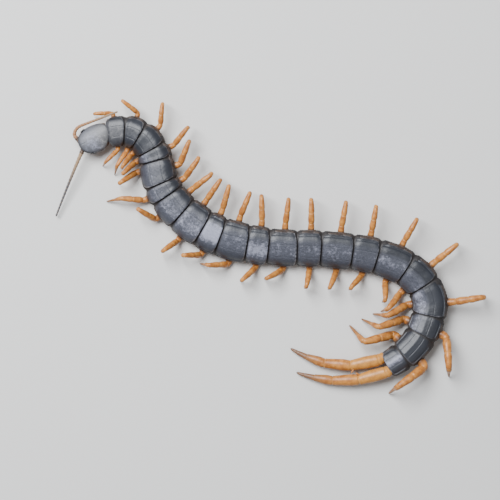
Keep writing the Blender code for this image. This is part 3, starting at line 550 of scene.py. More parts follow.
class Trunk:
    """Places, directions and sizes along the trunk line, for arrays of distances."""

    def __init__(self):
        self.line = smooth_route(TRUNK_ROUTE, ROUTE_SAMPLES)
        steps = np.linalg.norm(np.diff(self.line, axis=0), axis=1)
        self.distance = np.concatenate(((0,), np.cumsum(steps)))
        self.length = self.distance[-1]
        shares = np.concatenate(((0,), np.cumsum(SEGMENT_SHARES)))
        self.joints = shares * self.length / shares[-1]

    def point(self, distance):
        """Points of the line at those distances from the neck."""
        return np.stack([np.interp(distance, self.distance, column) for column in self.line.T],
                        axis=-1)

    def frames(self, distance):
        """Centre, rearward, right and up directions at those distances, with the roll."""
        distance = np.asarray(distance, float)
        level = unit(self.point(distance + FRAME_REACH) - self.point(distance - FRAME_REACH))
        zero = np.zeros(distance.shape)
        back = np.stack((level[..., 0], level[..., 1], zero), axis=-1)
        side = np.stack((-level[..., 1], level[..., 0], zero), axis=-1)
        roll = (ROLL * np.interp(self.station(distance), ROLL_STATIONS, ROLL_SHARES))[..., None]
        right = side * np.cos(roll) + UP * np.sin(roll)
        up = UP * np.cos(roll) - side * np.sin(roll)
        flat = self.point(distance)
        centre = np.stack((flat[..., 0], flat[..., 1], zero + AXIS_HEIGHT), axis=-1)
        return centre, back, right, up

    def place(self, distance, across, rise):
        """Points at those distances, that far to the right and that far above the axis."""
        centre, _, right, up = self.frames(distance)
        return centre + right * across[..., None] + up * rise[..., None]

    def station(self, distance):
        """How many segments lie before those distances."""
        return np.interp(distance, self.joints, np.arange(SEGMENTS + 1))

    def span(self, segment):
        """Where a segment starts and stops."""
        return self.joints[segment - 1], self.joints[segment]

    def leg_distance(self, segment):
        """Distance of a segment's leg pair."""
        start, stop = self.span(segment)
        return start + np.interp(segment, LEG_STATION_SEGMENTS, LEG_STATIONS) * (stop - start)

    def half_width(self, distance):
        """Half the backplate's width."""
        return np.interp(self.station(distance), WIDTH_STATIONS, HALF_WIDTHS)

    def heights(self, distance):
        """Crown height and belly depth, both lower at the neck and the tail."""
        station = self.station(distance)
        stations = (0, NECK_SPAN, SEGMENTS - TAIL_SPAN, SEGMENTS)
        crown = np.interp(station, stations, (NECK_CROWN, CROWN_HEIGHT, CROWN_HEIGHT, TAIL_CROWN))
        belly = np.interp(station, stations, (NECK_BELLY, BELLY_DEPTH, BELLY_DEPTH, TAIL_BELLY))
        return crown, belly

    def groove(self, distance, width):
        """1 at the joint between two segments, falling to 0 within the width."""
        nearest = np.abs(distance[..., None] - self.joints[None, :]).min(axis=-1)
        return np.exp(-(nearest / width) ** 2)

    def skin(self, distance, angle, lift=0.0):
        """Points of the membrane: a rounded box section, angle 0 at the right and 90 at the top.

        The section is half width times |cosine| to a power and crown or belly times |sine| to
        another, drawn in at the joints between segments and lifted by folds and leg bases.
        """
        half = self.half_width(distance) + FLANK_OVERHANG - SKIN_FLANK_INSET
        crown, belly = self.heights(distance)
        cosine, sine = np.cos(angle), np.sin(angle)
        height = np.where(sine > 0, crown - SKIN_CROWN_INSET, belly - SKIN_BELLY_INSET)
        power = np.where(sine > 0, SKIN_CROWN_POWER, SKIN_BELLY_POWER)
        pinch = self.groove(distance, PINCH_WIDTH)
        flank = np.abs(cosine) ** 3
        across = (half - pinch * PINCH_DEPTH + lift * flank) * signed_power(cosine, SKIN_FLANK_POWER)
        rise = (height - PINCH_DROP * pinch + lift * (1 - flank)) * signed_power(sine, power)
        return self.place(distance, across, rise)


def membrane_lift(trunk, distance, angle, fold_height):
    """Folds of the flanks: crossed sine waves on the flanks, swelling round each leg base."""
    low_flank = bump(np.sin(angle), -0.12, 0.55) * np.abs(np.cos(angle))
    folds = (0.6 * np.sin(2 * math.pi * distance / (0.62 * MM)
                          + 1.2 * np.sin(5 * angle) + 0.8 * np.sin(distance / (1.7 * MM)))
             + 0.7 * np.sin(17 * angle + 1.5 * np.sin(distance / (1.3 * MM))))
    lift = fold_height * folds * low_flank
    for segment in range(1, SEGMENTS):
        near = bump(distance, trunk.leg_distance(segment), 1.15 * MM)
        lift = lift + HIP_HEIGHT * near * bump(np.sin(angle), -0.16, 0.34)
    return lift


def make_membrane(trunk, settings, finish):
    """One skin along the whole trunk: the section of Trunk.skin with its folds, ends closed."""
    share, angle = tube_grid(MEMBRANE_ROWS, MEMBRANE_SIDES)
    distance = GAP / 2 + share * (trunk.length - GAP)
    lift = membrane_lift(trunk, distance, angle, settings.fold_height)
    points = trunk.skin(distance, angle, lift)
    base = np.zeros(distance.shape)
    for segment in range(1, SEGMENTS):
        base = np.maximum(base, bump(distance, trunk.leg_distance(segment), 1.3 * MM)
                          * bump(np.sin(angle), -0.2, 0.45))
    nodes = ["trunk_" + "_".join(f"{number:02d}" for number in sorted({first, last}))
             for first, last in TRUNK_PIECES]
    # The joint mark places painted shade in the folds between segments
    shape = closed_tube(points, base=base, joint=trunk.groove(distance, 0.5 * MM))
    make_piece("membrane", [shape], finish, nodes)


# Plates of the trunk

FIRST_PLATE_WIDTH = 1.08
PLATE_WIDTH = 0.985
FIRST_PLATE_LAP = 0.2 * MM
FIRST_PLATE_SINK = 0.55 * MM
FIRST_PLATE_FRONT_BOW = 1.0 * MM
FIRST_PLATE_REAR_BOW = 0.9 * MM
PLATE_GRID = (64, 113)
PLATE_FRONT_BOW = 0.4 * MM
PLATE_REAR_BOW = 0.7 * MM
PLATE_FRONT_SINK = 0.15 * MM
PLATE_LIP_RISE = 0.08 * MM
PLATE_LIP_TURN = 0.14 * MM
KEEL_HEIGHT = 1.1 * MM
SUTURE_PLACE = 0.36
PLATE_WAVE = 0.045 * MM
PLATE_GRAIN = 0.016 * MM
BREASTPLATE_GRID = (30, 37)
BREASTPLATE_WIDTH = 0.64
BREASTPLATE_FRONT_GAP = 0.25 * MM
BREASTPLATE_REAR_GAP = 0.2 * MM
BREASTPLATE_FRONT_BOW = 0.3 * MM
BREASTPLATE_REAR_BOW = 0.5 * MM
BREASTPLATE_FRONT_SINK = 0.12 * MM
BREASTPLATE_LINE_PLACE = 0.42
BREASTPLATE_LINE_DEPTH = 0.05 * MM
BREASTPLATE_WAVE = 0.03 * MM
# The dust and painted sheen on each backplate, from the neck to the rear end: how much, how far right
# of the middle it lies, how far it spreads and where it stops on the right, all three in half widths.
# The pale lavender layer is partly real dust and partly a painted sheen for the lit side of each
# plate; plates with little of it, and the bare shell right of where it stops, are left dark as
# painted shade.
PLATE_DUST_AND_SHEEN = (
    (0.62, 0.1, 1.3, 0.8), (0.10, -0.3, 0.8, 0.4), (0.0, 0.0, 0.8, 0.6), (0.74, -0.5, 0.6, -0.1),
    (0.52, -0.35, 0.9, 0.35), (0.64, -0.4, 0.9, 0.5), (0.66, -0.1, 1.0, 0.65),
    (0.82, -0.1, 1.0, 0.65), (1.35, 0.15, 0.7, 0.7), (0.70, 0.1, 0.8, 0.7), (0.88, -0.1, 0.9, 0.6),
    (0.68, 0.1, 0.9, 0.7), (0.62, 0.0, 0.9, 0.65), (0.70, 0.1, 0.8, 0.6), (0.62, -0.1, 0.9, 0.6),
    (0.66, 0.0, 0.8, 0.5), (0.62, -0.2, 0.8, 0.3), (0.82, -0.5, 0.7, 0.0), (0.62, -0.5, 0.7, 0.0),
    (0.0, -0.5, 0.6, 0.0), (0.96, -0.05, 0.40, 0.6))
# How worn the border of each backplate is
PLATE_WEAR = (0.2, 0.9, 0.9, 0.9, 0.8, 0.4, 0.4, 0.8, 0.4, 0.5, 0.4, 0.9, 0.4, 0.4, 0.5, 0.4, 0.4,
              0.5, 0.4, 0.4, 0.8)


def plate_rise(across):
    """Share of the crown height across a backplate: 1 less 0.64 times the way out to a power."""
    return 1 - 0.64 * np.abs(across) ** 3.5


def backplate(trunk, segment, settings):
    """One backplate: plate_rise over its width, with a keel, a lip behind, a side rim and paired
    sutures, its corners rounded by drawing both ends in with powers of v.

    The first plate is wider and its front sinks below the head plate.
    """
    start, stop = trunk.span(segment)
    share, across = mesh_grid(*PLATE_GRID)
    side = np.abs(across)
    first = segment == 1
    if first:
        front = start - FIRST_PLATE_LAP + FIRST_PLATE_FRONT_BOW * side ** 4
    else:
        front = start + settings.plate_gap / 2 + PLATE_FRONT_BOW * side ** 5
    rear_bow = FIRST_PLATE_REAR_BOW if first else PLATE_REAR_BOW
    rear = stop - settings.plate_gap / 2 - rear_bow * side ** 5
    distance = front + share * (rear - front)
    half = float(trunk.half_width(trunk.leg_distance(segment)))
    half = half * (FIRST_PLATE_WIDTH if first else PLATE_WIDTH)
    width = half * (1 - 0.06 * (1 - smooth_step(0, 0.3, share)) - 0.03 * smooth_step(0.8, 1, share))
    crown, _ = trunk.heights(distance)
    rise = crown * plate_rise(across)
    rear_share = segment / SEGMENTS
    keel = KEEL_HEIGHT * smooth_step(0.62, 0.84, rear_share)
    rise = rise - keel * (np.sqrt(side ** 2 + 0.003) - 0.055) * (1 - side)
    sink = FIRST_PLATE_SINK if first else PLATE_FRONT_SINK
    rise = rise - sink * (1 - smooth_step(0.0, 0.22, share))
    rise = rise + PLATE_LIP_RISE * smooth_step(0.55, 0.93, share)
    rise = rise - PLATE_LIP_TURN * smooth_step(0.93, 1.0, share) ** 2
    rim = settings.rim_height * smooth_step(0.25, 0.5, rear_share)
    rise = rise + rim * bump(side, 0.955, 0.03) * smooth_step(0.05, 0.25, share)
    rise = rise - 0.5 * rim * bump(side, 0.88, 0.035)
    suture = SUTURE_PLACE + 0.05 * (share - 0.5) ** 2
    rise = rise - settings.suture_depth * bump(side, suture, 0.02) * smooth_step(0, 0.1, share)
    rise = rise + PLATE_WAVE * ripple(distance, across * width, segment, finest=3.4)
    rise = rise + PLATE_GRAIN * ripple(distance, across * width, segment + 40, 14, 0.6)
    points = trunk.place(distance, across * width, rise)
    thickness = settings.plate_thickness * (0.35 + 0.65 * (1 - np.maximum(side, 2 * share - 1) ** 8))
    edge = np.maximum(smooth_step(0.945, 0.985, share), 0.5 * smooth_step(0.955, 0.99, side))
    # Dust and painted sheen: right of the limit the bare dark shell stands as painted shade on the
    # side away from the light
    load, middle, spread, limit = PLATE_DUST_AND_SHEEN[segment - 1]
    dust = load * bump(across, middle, spread) * (1 - smooth_step(limit - 0.12, limit + 0.15, across))
    # The front mark places painted shade where the plate's front tucks under the plate ahead
    return shell(points, thickness, edge=edge * PLATE_WEAR[segment - 1],
                 front=1 - smooth_step(0.0, 0.07, share), dust=dust * (1 - 0.5 * side ** 6),
                 length=distance / MM, width=across * width / MM, brown=0.85 if first else 0.0)


def breastplate(trunk, segment, settings):
    """One breastplate: the belly's depth less a tenth of the cubed way out, with a sunk front
    and two lines along it."""
    start, stop = trunk.span(segment)
    share, across = mesh_grid(*BREASTPLATE_GRID)
    side = np.abs(across)
    front = start + BREASTPLATE_FRONT_GAP + BREASTPLATE_FRONT_BOW * side ** 5
    rear = stop - BREASTPLATE_REAR_GAP - BREASTPLATE_REAR_BOW * side ** 4
    if segment == SEGMENTS:
        rear = rear - BREASTPLATE_REAR_BOW * side ** 2
    distance = front + share * (rear - front)
    half = float(trunk.half_width(trunk.leg_distance(segment))) * BREASTPLATE_WIDTH
    width = half * (1 - 0.10 * (1 - smooth_step(0, 0.3, share)) - 0.08 * smooth_step(0.6, 1, share))
    _, belly = trunk.heights(distance)
    drop = belly * (0.995 - 0.10 * side ** 3)
    behind_front = smooth_step(0, 0.1, share)
    line = bump(side, BREASTPLATE_LINE_PLACE, 0.02)
    drop = drop - BREASTPLATE_LINE_DEPTH * line * behind_front
    drop = drop - BREASTPLATE_FRONT_SINK * (1 - behind_front)
    wave = ripple(distance, across * width, segment + 80, finest=1.5)
    drop = drop + BREASTPLATE_WAVE * wave
    upper = trunk.place(distance, across * width, -drop + settings.plate_thickness)
    lower = trunk.place(distance, across * width, -drop)
    edge = np.maximum(smooth_step(0.93, 1, share), smooth_step(0.93, 1, side))
    return two_faced(upper, lower, edge=edge)


def disc_grid(rows):
    """A square grid pressed into a disc: x is a times the root of 1 - b squared / 2."""
    first, second = np.meshgrid(np.linspace(-1, 1, rows), np.linspace(-1, 1, rows), indexing="ij")
    return first * np.sqrt(1 - second ** 2 / 2), second * np.sqrt(1 - first ** 2 / 2)


def oval_grid(rows, power):
    """disc_grid widened into a superellipse: each radius over the power mean of its direction."""
    first, second = disc_grid(rows)
    reach = np.hypot(first, second)
    spread = (np.abs(first) ** power + np.abs(second) ** power) ** (1 / power)
    scale = reach / np.maximum(spread, 1e-9)
    return first * scale, second * scale, reach


def flank_shield(trunk, distance, angle, half_length, half_angle, height, rows=13, **marks):
    """A small oval shield on the flank, raised above the membrane by its height times 1 less the
    fourth power of the way out."""
    first, second = disc_grid(rows)
    where = distance + first * half_length
    turn = angle + second * half_angle
    dome = np.clip(1 - (first ** 2 + second ** 2) ** 2, 0, 1)
    upper = trunk.skin(where, turn, 0.05 * MM + height * dome)
    lower = trunk.skin(where, turn, -0.15 * MM * np.ones(where.shape))
    return two_faced(upper, lower, **{name: np.full(first.shape, mark)
                                      for name, mark in marks.items()})


# Head and what it carries

class Head:
    """The head's own straight frame, with its origin at the neck."""

    def __init__(self, trunk):
        self.forward = np.array((math.cos(HEAD_HEADING), math.sin(HEAD_HEADING), 0.0))
        self.left = np.array((-self.forward[1], self.forward[0], 0.0))
        self.origin = np.array((*trunk.point(0), 0.0))
        _, back, _, _ = trunk.frames(0.0)
        self.neck_turn = math.atan2(-back[1], -back[0]) - (HEAD_HEADING - 2 * math.pi)

    def place(self, forward, left, height):
        """Points at those distances from the neck on the floor."""
        forward, left, height = (np.asarray(value, float)[..., None]
                                 for value in (forward, left, height))
        return self.origin + self.forward * forward + self.left * left + UP * height

    def bent(self, forward, left, height):
        """Like place, with the rear of the head turned to face the first segment."""
        turn = self.neck_turn * np.clip(1 - forward / HEAD_LENGTH / NECK_BLEND, 0, 1.3)
        return self.place(forward - left * np.sin(turn), left * np.cos(turn), height)

    def heading(self, degrees, pitch=0.0):
        """Directions that far to the left of forward and that far up."""
        turn = np.radians(np.asarray(degrees, float))[..., None]
        rise = np.radians(np.asarray(pitch, float))[..., None]
        flat = self.forward * np.cos(turn) + self.left * np.sin(turn)
        return flat * np.cos(rise) + UP * np.sin(rise)


def head_arch(share, rear, front):
    """Relative size along the head: 1 at its widest, falling like an arc to both ends."""
    away = np.where(share < HEAD_WIDEST, 1 - share / HEAD_WIDEST,
                    (share - HEAD_WIDEST) / (1 - HEAD_WIDEST))
    power = np.where(share < HEAD_WIDEST, HEAD_REAR_ROUNDNESS, HEAD_FRONT_ROUNDNESS)
    end = np.where(share < HEAD_WIDEST, rear, front)
    return end + (1 - end) * (1 - np.clip(away, 0, 1) ** power) ** (1 / power)


def head_plate(head):
    """The head plate: a superellipse in plan, domed by head_arch along and a power across, with a
    furrow in front and fine pits; its rear end laps over the first backplate."""
    first, second, reach = oval_grid(HEAD_GRID, 2.3)
    forward = (HEAD_LENGTH - HEAD_LAP) / 2 + first * (HEAD_LENGTH + HEAD_LAP + HEAD_NOSE) / 2
    across = second * (HEAD_HALF_WIDTH + HEAD_BRIM) * (1 - 0.06 * first)
    station = np.clip(forward / HEAD_LENGTH, 0, 1)
    outline = HEAD_HALF_WIDTH * head_arch(station, 0.95, HEAD_FRONT_WIDTH + 0.2)
    side = np.clip(np.abs(across) / outline, 0, 1)
    rise = HEAD_TOP * head_arch(station, 0.94, HEAD_FRONT_HEIGHT)
    rise = rise * (0.22 + 0.78 * (1 - side ** 2.1) ** 0.72)
    rise = rise - HEAD_EDGE_DROP * smooth_step(0.94, 1, reach)
    furrow = bump(across, 0, HEAD_FURROW_WIDTH)
    rise = rise - HEAD_FURROW_DEPTH * furrow * smooth_step(0.62, 0.95, station)
    rise = rise + HEAD_WAVE * ripple(forward, across, 7, finest=2.2)
    rise = rise + HEAD_GRAIN * ripple(forward, across, 8, 16, 0.4)
    thickness = HEAD_PLATE_THICKNESS * (0.4 + 0.6 * (1 - reach ** 8))
    upper = head.bent(forward, across, HEAD_AXIS_HEIGHT + rise)
    lower = head.bent(forward, across, HEAD_AXIS_HEIGHT + rise - thickness)
    # Toward the rim the dust and painted sheen thin out and painted shade darkens it, most at the
    # front; the rear is browner
    return two_faced(upper, lower, edge=0.0, dust=0.74 - 0.45 * reach ** 4,
                     front=smooth_step(0.80, 1, reach) * (0.35 + 0.65 * station),
                     length=-forward / MM, width=across / MM,
                     brown=1 - smooth_step(0.1, 0.55, station))


def head_capsule(head):
    """The head below its plate: oval sections whose size follows head_arch."""
    share, angle = tube_grid(CAPSULE_ROWS, CAPSULE_SIDES)
    half = HEAD_HALF_WIDTH * head_arch(share, HEAD_REAR_WIDTH, HEAD_FRONT_WIDTH) - CAPSULE_INSET
    height = head_arch(share, HEAD_REAR_HEIGHT, HEAD_FRONT_HEIGHT)
    cosine, sine = np.cos(angle), np.sin(angle)
    rise = height * np.where(sine > 0, HEAD_TOP * 0.62, HEAD_BOTTOM) * signed_power(sine, 0.85)
    across = half * signed_power(cosine, 0.75)
    forward = GAP / 2 + share * (HEAD_LENGTH - 0.25 * MM)
    forward = forward - 0.35 * MM * np.abs(cosine) ** 4 * share ** 6
    rise = rise + CAPSULE_WAVE * ripple(forward, angle * MM, 9, finest=0.9)
    return closed_tube(head.bent(forward, across, HEAD_AXIS_HEIGHT + rise))


def limb_path(points, spacing, round_off):
    """Even steps along a polyline, its corners rounded by a running mean of round_off length,
    with the distance of each step and of each corner from the start."""
    points = np.asarray(points)
    steps = np.linalg.norm(np.diff(points, axis=0), axis=1)
    reach = np.concatenate(((0,), np.cumsum(steps)))
    count = int(reach[-1] / spacing) + 1
    where = np.linspace(0, reach[-1], count)
    path = np.stack([np.interp(where, reach, column) for column in points.T], axis=-1)
    window = max(1, int(round_off / spacing)) | 1
    half = window // 2
    padded = np.vstack((2 * path[0] - path[half:0:-1], path, 2 * path[-1] - path[-2:-half - 2:-1]))
    kernel = np.hanning(window + 2)[1:-1]
    kernel = kernel / kernel.sum()
    smooth = np.stack([np.convolve(column, kernel, "valid") for column in padded.T], axis=-1)
    return smooth, where, reach


def jointed(size, where, joints, width, waist, flare=0.0):
    """Sizes along a limb, narrowed by a bell at each joint and widened just before it."""
    for joint in joints:
        size = size * (1 - waist * bump(where, joint, width)
                       + flare * bump(where, joint - 2.3 * width, 1.4 * width))
    return size


def near_joints(where, joints, width):
    """1 at each joint, falling to 0 on both sides as a bell of that width."""
    return np.max([bump(where, joint, width) for joint in joints], axis=0)


def at_corners(reach, corners):
    """Distances along a limb of corner numbers with a share of the way to the next corner."""
    return np.interp(corners, np.arange(len(reach)), reach)


def profile(where, reach, rows):
    """Radius and place on the finish along a limb, read from the rows of a leg's profile."""
    corner, beyond, radius, place = np.array(rows).T
    stations = at_corners(reach, corner) + beyond * MM
    return np.interp(where, stations, radius * MM), np.interp(where, stations, place)


def make_antenna(head, side, finish):
    """A row of articles: each swells by a sine arch toward its far end and narrows at its neck."""
    sign, pose = SIDES[side], ANTENNAE[side]
    root = head.place(ANTENNA_SOCKET_FORWARD, sign * ANTENNA_SOCKET_SIDE, ANTENNA_HEIGHT)
    start = head.heading(sign * pose["start"])
    share = (np.arange(ARTICLES) + 0.5) / ARTICLES
    bent = np.arange(ARTICLES) / ARTICLES / pose["turn_share"]
    curl = np.minimum(1, bent) ** ANTENNA_CURL_POWER
    pitch = pose["drop"] * np.minimum(1, share / ANTENNA_DROP_SHARE)
    along = head.heading(sign * (pose["start"] + pose["turn"] * curl), pitch)
    step = pose["length"] / ARTICLES
    first = root + start * (ANTENNA_SOCKET_LENGTH - 0.5 * MM)
    points = np.vstack((first, root + start * (ANTENNA_SOCKET_LENGTH + GAP)
                        + np.vstack((np.zeros(3), np.cumsum(along * step, axis=0)))))
    path, where, reach = limb_path(points, spacing=0.11 * MM, round_off=0.9 * MM)
    body = np.clip((where - reach[1]) / pose["length"], 0, 1)
    within = (body * ARTICLES) % 1.0
    thinner = (ANTENNA_BASE_RADIUS - ANTENNA_TIP_RADIUS) * body ** ANTENNA_TAPER_POWER
    swell = np.sin(math.pi * np.clip(within, 0, 1) ** 1.3) ** 0.6
    radii = (ANTENNA_BASE_RADIUS - thinner) * (0.80 + 0.20 * swell)
    radii = radii * np.sqrt(np.clip((1.002 - body) / 0.02, 0.02, 1))
    neck = np.maximum(bump(within, 0, 0.09), bump(within, 1, 0.07))
    shape = sweep(path, radii, 16, UP, along=body, joint=neck,
                  rust=np.full(len(where), 1.0 if side == "right" else 0.0))
    make_piece(f"antenna_{side}_dressed", [shape], finish, [f"antenna_{side}"])


def socket_shapes(head):
    """The rings that the antennae grow from: round sections with a sine ripple along them."""
    shapes = []
    for side, sign in SIDES.items():
        root = head.place(ANTENNA_SOCKET_FORWARD, sign * ANTENNA_SOCKET_SIDE, ANTENNA_HEIGHT)
        along = head.heading(sign * ANTENNAE[side]["start"])
        share = np.linspace(0, 1, 26)
        path = root + np.outer(share * SOCKET_RING_LENGTH - SOCKET_RING_SINK, along)
        radii = (0.75 - 0.12 * share + 0.06 * np.sin(share * 16)) * MM
        radii = radii * np.where(share > 0.97, 0.86, 1)
        shapes.append(sweep(path, radii, 20, UP))
    return shapes


def make_head(head, finishes):
    """The head plate, the capsule below it with the antenna sockets, and the ocelli."""
    make_piece("head_plate", [head_plate(head)], finishes["head"])
    make_piece("head_capsule", [head_capsule(head), *socket_shapes(head)], finishes["flesh"],
               ["head"])
    eyes = []
    for sign in SIDES.values():
        for forward, rise in zip(OCELLI_FORWARD, OCELLI_RISE):
            reach = OCELLI_REACH - OCELLI_DRAW_IN * (rise / HEAD_TOP) ** 2
            half = HEAD_HALF_WIDTH * float(head_arch(forward / HEAD_LENGTH, HEAD_REAR_WIDTH,
                                                     HEAD_FRONT_WIDTH))
            centre = head.place(forward, sign * half * reach, HEAD_AXIS_HEIGHT + rise)
            eyes.append(ellipsoid(centre, (UP * OCELLUS_RADIUS, head.forward * OCELLUS_RADIUS,
                                           head.left * OCELLUS_RADIUS)))
    make_piece("ocelli", eyes, finishes["eye"])


def jaw_plate(head):
    """The plate under the head: bowed across, with a groove along its middle and low ends, and
    on each side of its front edge a row of teeth, each given by its place and its length."""
    share, across = mesh_grid(*JAW_PLATE_GRID)
    side = np.abs(across)
    forward = JAW_PLATE_FORWARD + JAW_PLATE_LENGTH * (share - 0.5)
    forward = forward - JAW_PLATE_BOW * side ** 4 * (2 * share - 1)
    half = (2.05 + 0.45 * np.sin(math.pi * (0.15 + 0.75 * share))) * MM
    drop = JAW_PLATE_HALF_DEPTH * (1 - 0.35 * side ** 3)
    drop = drop - JAW_GROOVE_DEPTH * bump(across, 0, 0.035)
    drop = drop - JAW_PLATE_END_DROP * bump(np.abs(2 * share - 1), 1, 0.05)
    drop = drop + JAW_PLATE_WAVE * ripple(forward, across * half, 11, finest=1.4)
    middle = JAW_HEIGHT + JAW_PLATE_RISE
    rise = JAW_PLATE_HALF_DEPTH * (1 - 0.3 * side ** 3)
    lower = head.place(forward, across * half, middle - drop)
    upper = head.place(forward, across * half, middle + rise)
    shapes = [two_faced(upper, lower, along=0.05,
                        joint=np.maximum(bump(share, 1, 0.04), bump(share, 0, 0.03)))]
    for sign in SIDES.values():
        for place, length in JAW_TEETH:
            root = head.place(JAW_PLATE_FRONT - 0.25 * MM, sign * place, JAW_HEIGHT + 0.1 * MM)
            shapes.append(spike(root, head.heading(sign * 6.0), length, JAW_TOOTH_RADIUS,
                                along=1.0, joint=0.0))
    return shapes


def jaw(head, sign):
    """A venom claw: a round section along its steps, narrowed at two joints, with one tooth."""
    root_forward = JAW_PLATE_FRONT + GAP
    points = [head.place(root_forward - 0.6 * MM, sign * JAW_ROOT_SIDE, JAW_HEIGHT),
              head.place(root_forward, sign * JAW_ROOT_SIDE, JAW_HEIGHT)]
    for step, heading in zip(JAW_STEPS, JAW_HEADINGS):
        points.append(points[-1] + step * head.heading(sign * heading))
    path, where, reach = limb_path(points, spacing=0.07 * MM, round_off=0.9 * MM)
    joints = (reach[4], reach[5] - 0.15 * MM)
    radii = np.interp(where, reach, (0.8 * MM, *JAW_RADII))
    radii = jointed(radii, where, joints, JAW_JOINT_WIDTH, JAW_WAIST)
    share = (where - reach[1]) / (reach[-1] - reach[1])
    tooth = points[3] - sign * head.left * 0.55 * MM
    return [sweep(path, radii, 20, UP, along=np.clip(share, 0, 1),
                  joint=near_joints(where, joints, JAW_JOINT_WIDTH)),
            spike(tooth, head.heading(-sign * 50.0), 0.75 * MM, 0.22 * MM, along=0.9, joint=0.0)]


def make_jaws(head, finish):
    """The plate under the head with its teeth, and the two venom claws in front of it."""
    make_piece("jaw_plate", jaw_plate(head), finish, ["forcipule_plate"])
    for name, sign in SIDES.items():
        make_piece(f"jaw_{name}", jaw(head, sign), finish, [f"forcipule_{name}"])


def make_palps(head, finish):
    """The mouthparts between head and venom claws: two jointed palps and two rounded lobes."""
    shapes = []
    for sign in SIDES.values():
        forward, left, height = PALP_ROUTE.T
        points = head.place(forward, sign * left, height)
        path, where, reach = limb_path(points, spacing=0.08 * MM, round_off=0.7 * MM)
        radii = np.interp(where, reach, PALP_RADII)
        shapes.append(sweep(path, jointed(radii, where, reach[1:3], 0.1 * MM, 0.2), 14, UP))
        forward, left, height = LOBE_PLACE
        axes = LOBE_AXES[:, None] * (head.forward, head.left, UP)
        shapes.append(ellipsoid(head.place(forward, sign * left, height), axes))
    make_piece("palps", shapes, finish)


# Legs

def direction(outward, rearward, sweep_angle, pitch):
    """Unit direction at that sweep from outward and that pitch above level."""
    turn, rise = math.radians(sweep_angle), math.radians(pitch)
    flat = outward * math.cos(turn) + rearward * math.sin(turn)
    return np.array((*(flat * math.cos(rise))[:2], math.sin(rise)))


def settle(height, parts):
    """The pitch at which parts of given length and extra pitch come down by that height."""
    low, high = PITCH_LIMITS
    for _ in range(PITCH_STEPS):
        pitch = (low + high) / 2
        fall = sum(length * math.sin(math.radians(min(pitch + extra, 90)))
                   for length, extra in parts)
        low, high = (pitch, high) if fall < height else (low, pitch)
    return pitch


def leg_shape(trunk, segment, side):
    """Corner points of a walking leg, its relative size and the way its spur points.

    The coxa goes straight out, the trochanter turns up in steps, prefemur and femur arch to the
    knee height, the knee turns down in steps, and the rest falls at the pitch that ends on the
    floor.
    """
    sweep_angle, turn = SWEEPS[side][segment - 1], TURNS[side][segment - 1]
    distance = trunk.leg_distance(segment)
    centre, back, right, up = trunk.frames(distance)
    outward = right * -SIDES[side]
    level = unit(outward * (1, 1, 0))
    half = float(trunk.half_width(distance)) + FLANK_OVERHANG
    size = LEG_LENGTH * np.interp(segment, LEG_SIZE_STATIONS, LEG_SIZES)
    parts = {name: share * size for name, share in LEG_PARTS.items()}
    knee_height = (KNEE_HEIGHTS[side] * np.interp(segment, KNEE_STATIONS, KNEE_SHARES)
                   + KNEE_RAISES[side].get(segment, 0))
    root = centre + outward * (half + GAP) + up * LEG_ROOT_DROP
    rise = math.degrees(math.asin((knee_height - root[2]) / (parts["prefemur"] + parts["femur"])))
    raised = direction(level, back, sweep_angle, rise + LEG_ARCH)
    folded = direction(level, back, sweep_angle, rise - LEG_ARCH)
    steps = [(outward, parts["coxa"])]
    for share in TROCHANTER_BENDS:
        steps.append((unit(outward * (1 - share) + raised * share),
                      parts["trochanter"] / len(TROCHANTER_BENDS)))
    steps += [(raised, parts["prefemur"]), (folded, parts["femur"])]
    for share in KNEE_BENDS:
        pitch = (rise - LEG_ARCH) * (1 - share) - KNEE_FALL * share
        steps.append((direction(level, back, sweep_angle + turn * share, pitch),
                      parts["knee"] / len(KNEE_BENDS)))
    height = root[2] + sum(along[2] * length for along, length in steps)
    lengths = [parts[name] / (2 if name == "claw" else 1) for name, _ in LOWER_LEG]
    pitch = settle(height, list(zip(lengths, [extra for _, extra in LOWER_LEG])))
    for length, (_, extra) in zip(lengths, LOWER_LEG):
        steps.append((direction(level, back, sweep_angle + turn, -min(pitch + extra, 90)), length))
    points = [root - outward * 1.3 * MM, root]
    for along, length in steps:
        points.append(points[-1] + along * length)
    points[-1][2] = 0.0
    under = direction(level, back, sweep_angle + turn, -min(pitch + 38, 90))
    return np.array(points), size / LEG_LENGTH, under


def make_walking_leg(trunk, segment, side, limb, finish):
    """A walking leg: an oval carried along its corner points, with a waist at each joint."""
    points, thick, under = leg_shape(trunk, segment, side)
    ankle = len(points) - 3
    path, where, reach = limb_path(points[:ankle + 1], spacing=0.1 * MM, round_off=0.55 * MM)
    size, share = profile(where, reach, WALKING_PROFILE)
    joints = at_corners(reach, WALKING_JOINTS)
    width = WALKING_JOINT_WIDTH * thick
    size = jointed(size * thick, where, joints, width, limb.waist, limb.flare)
    joint = near_joints(where, joints, 1.6 * width)
    reference = np.cross(points[6] - points[1], UP)
    shapes = [sweep(path, size, 18, reference, along=share, joint=joint)]
    spur_root = points[ankle - 1] - under * 0.1 * MM
    shapes.append(spike(spur_root, under, 0.72 * MM * thick, 0.17 * MM * thick,
                        along=0.95, joint=0.0))
    make_piece(f"leg_{side}_{segment:02d}_dressed", shapes, finish,
               [f"leg_{side}_{segment:02d}"])
    return claw_shapes(points, ankle, thick)


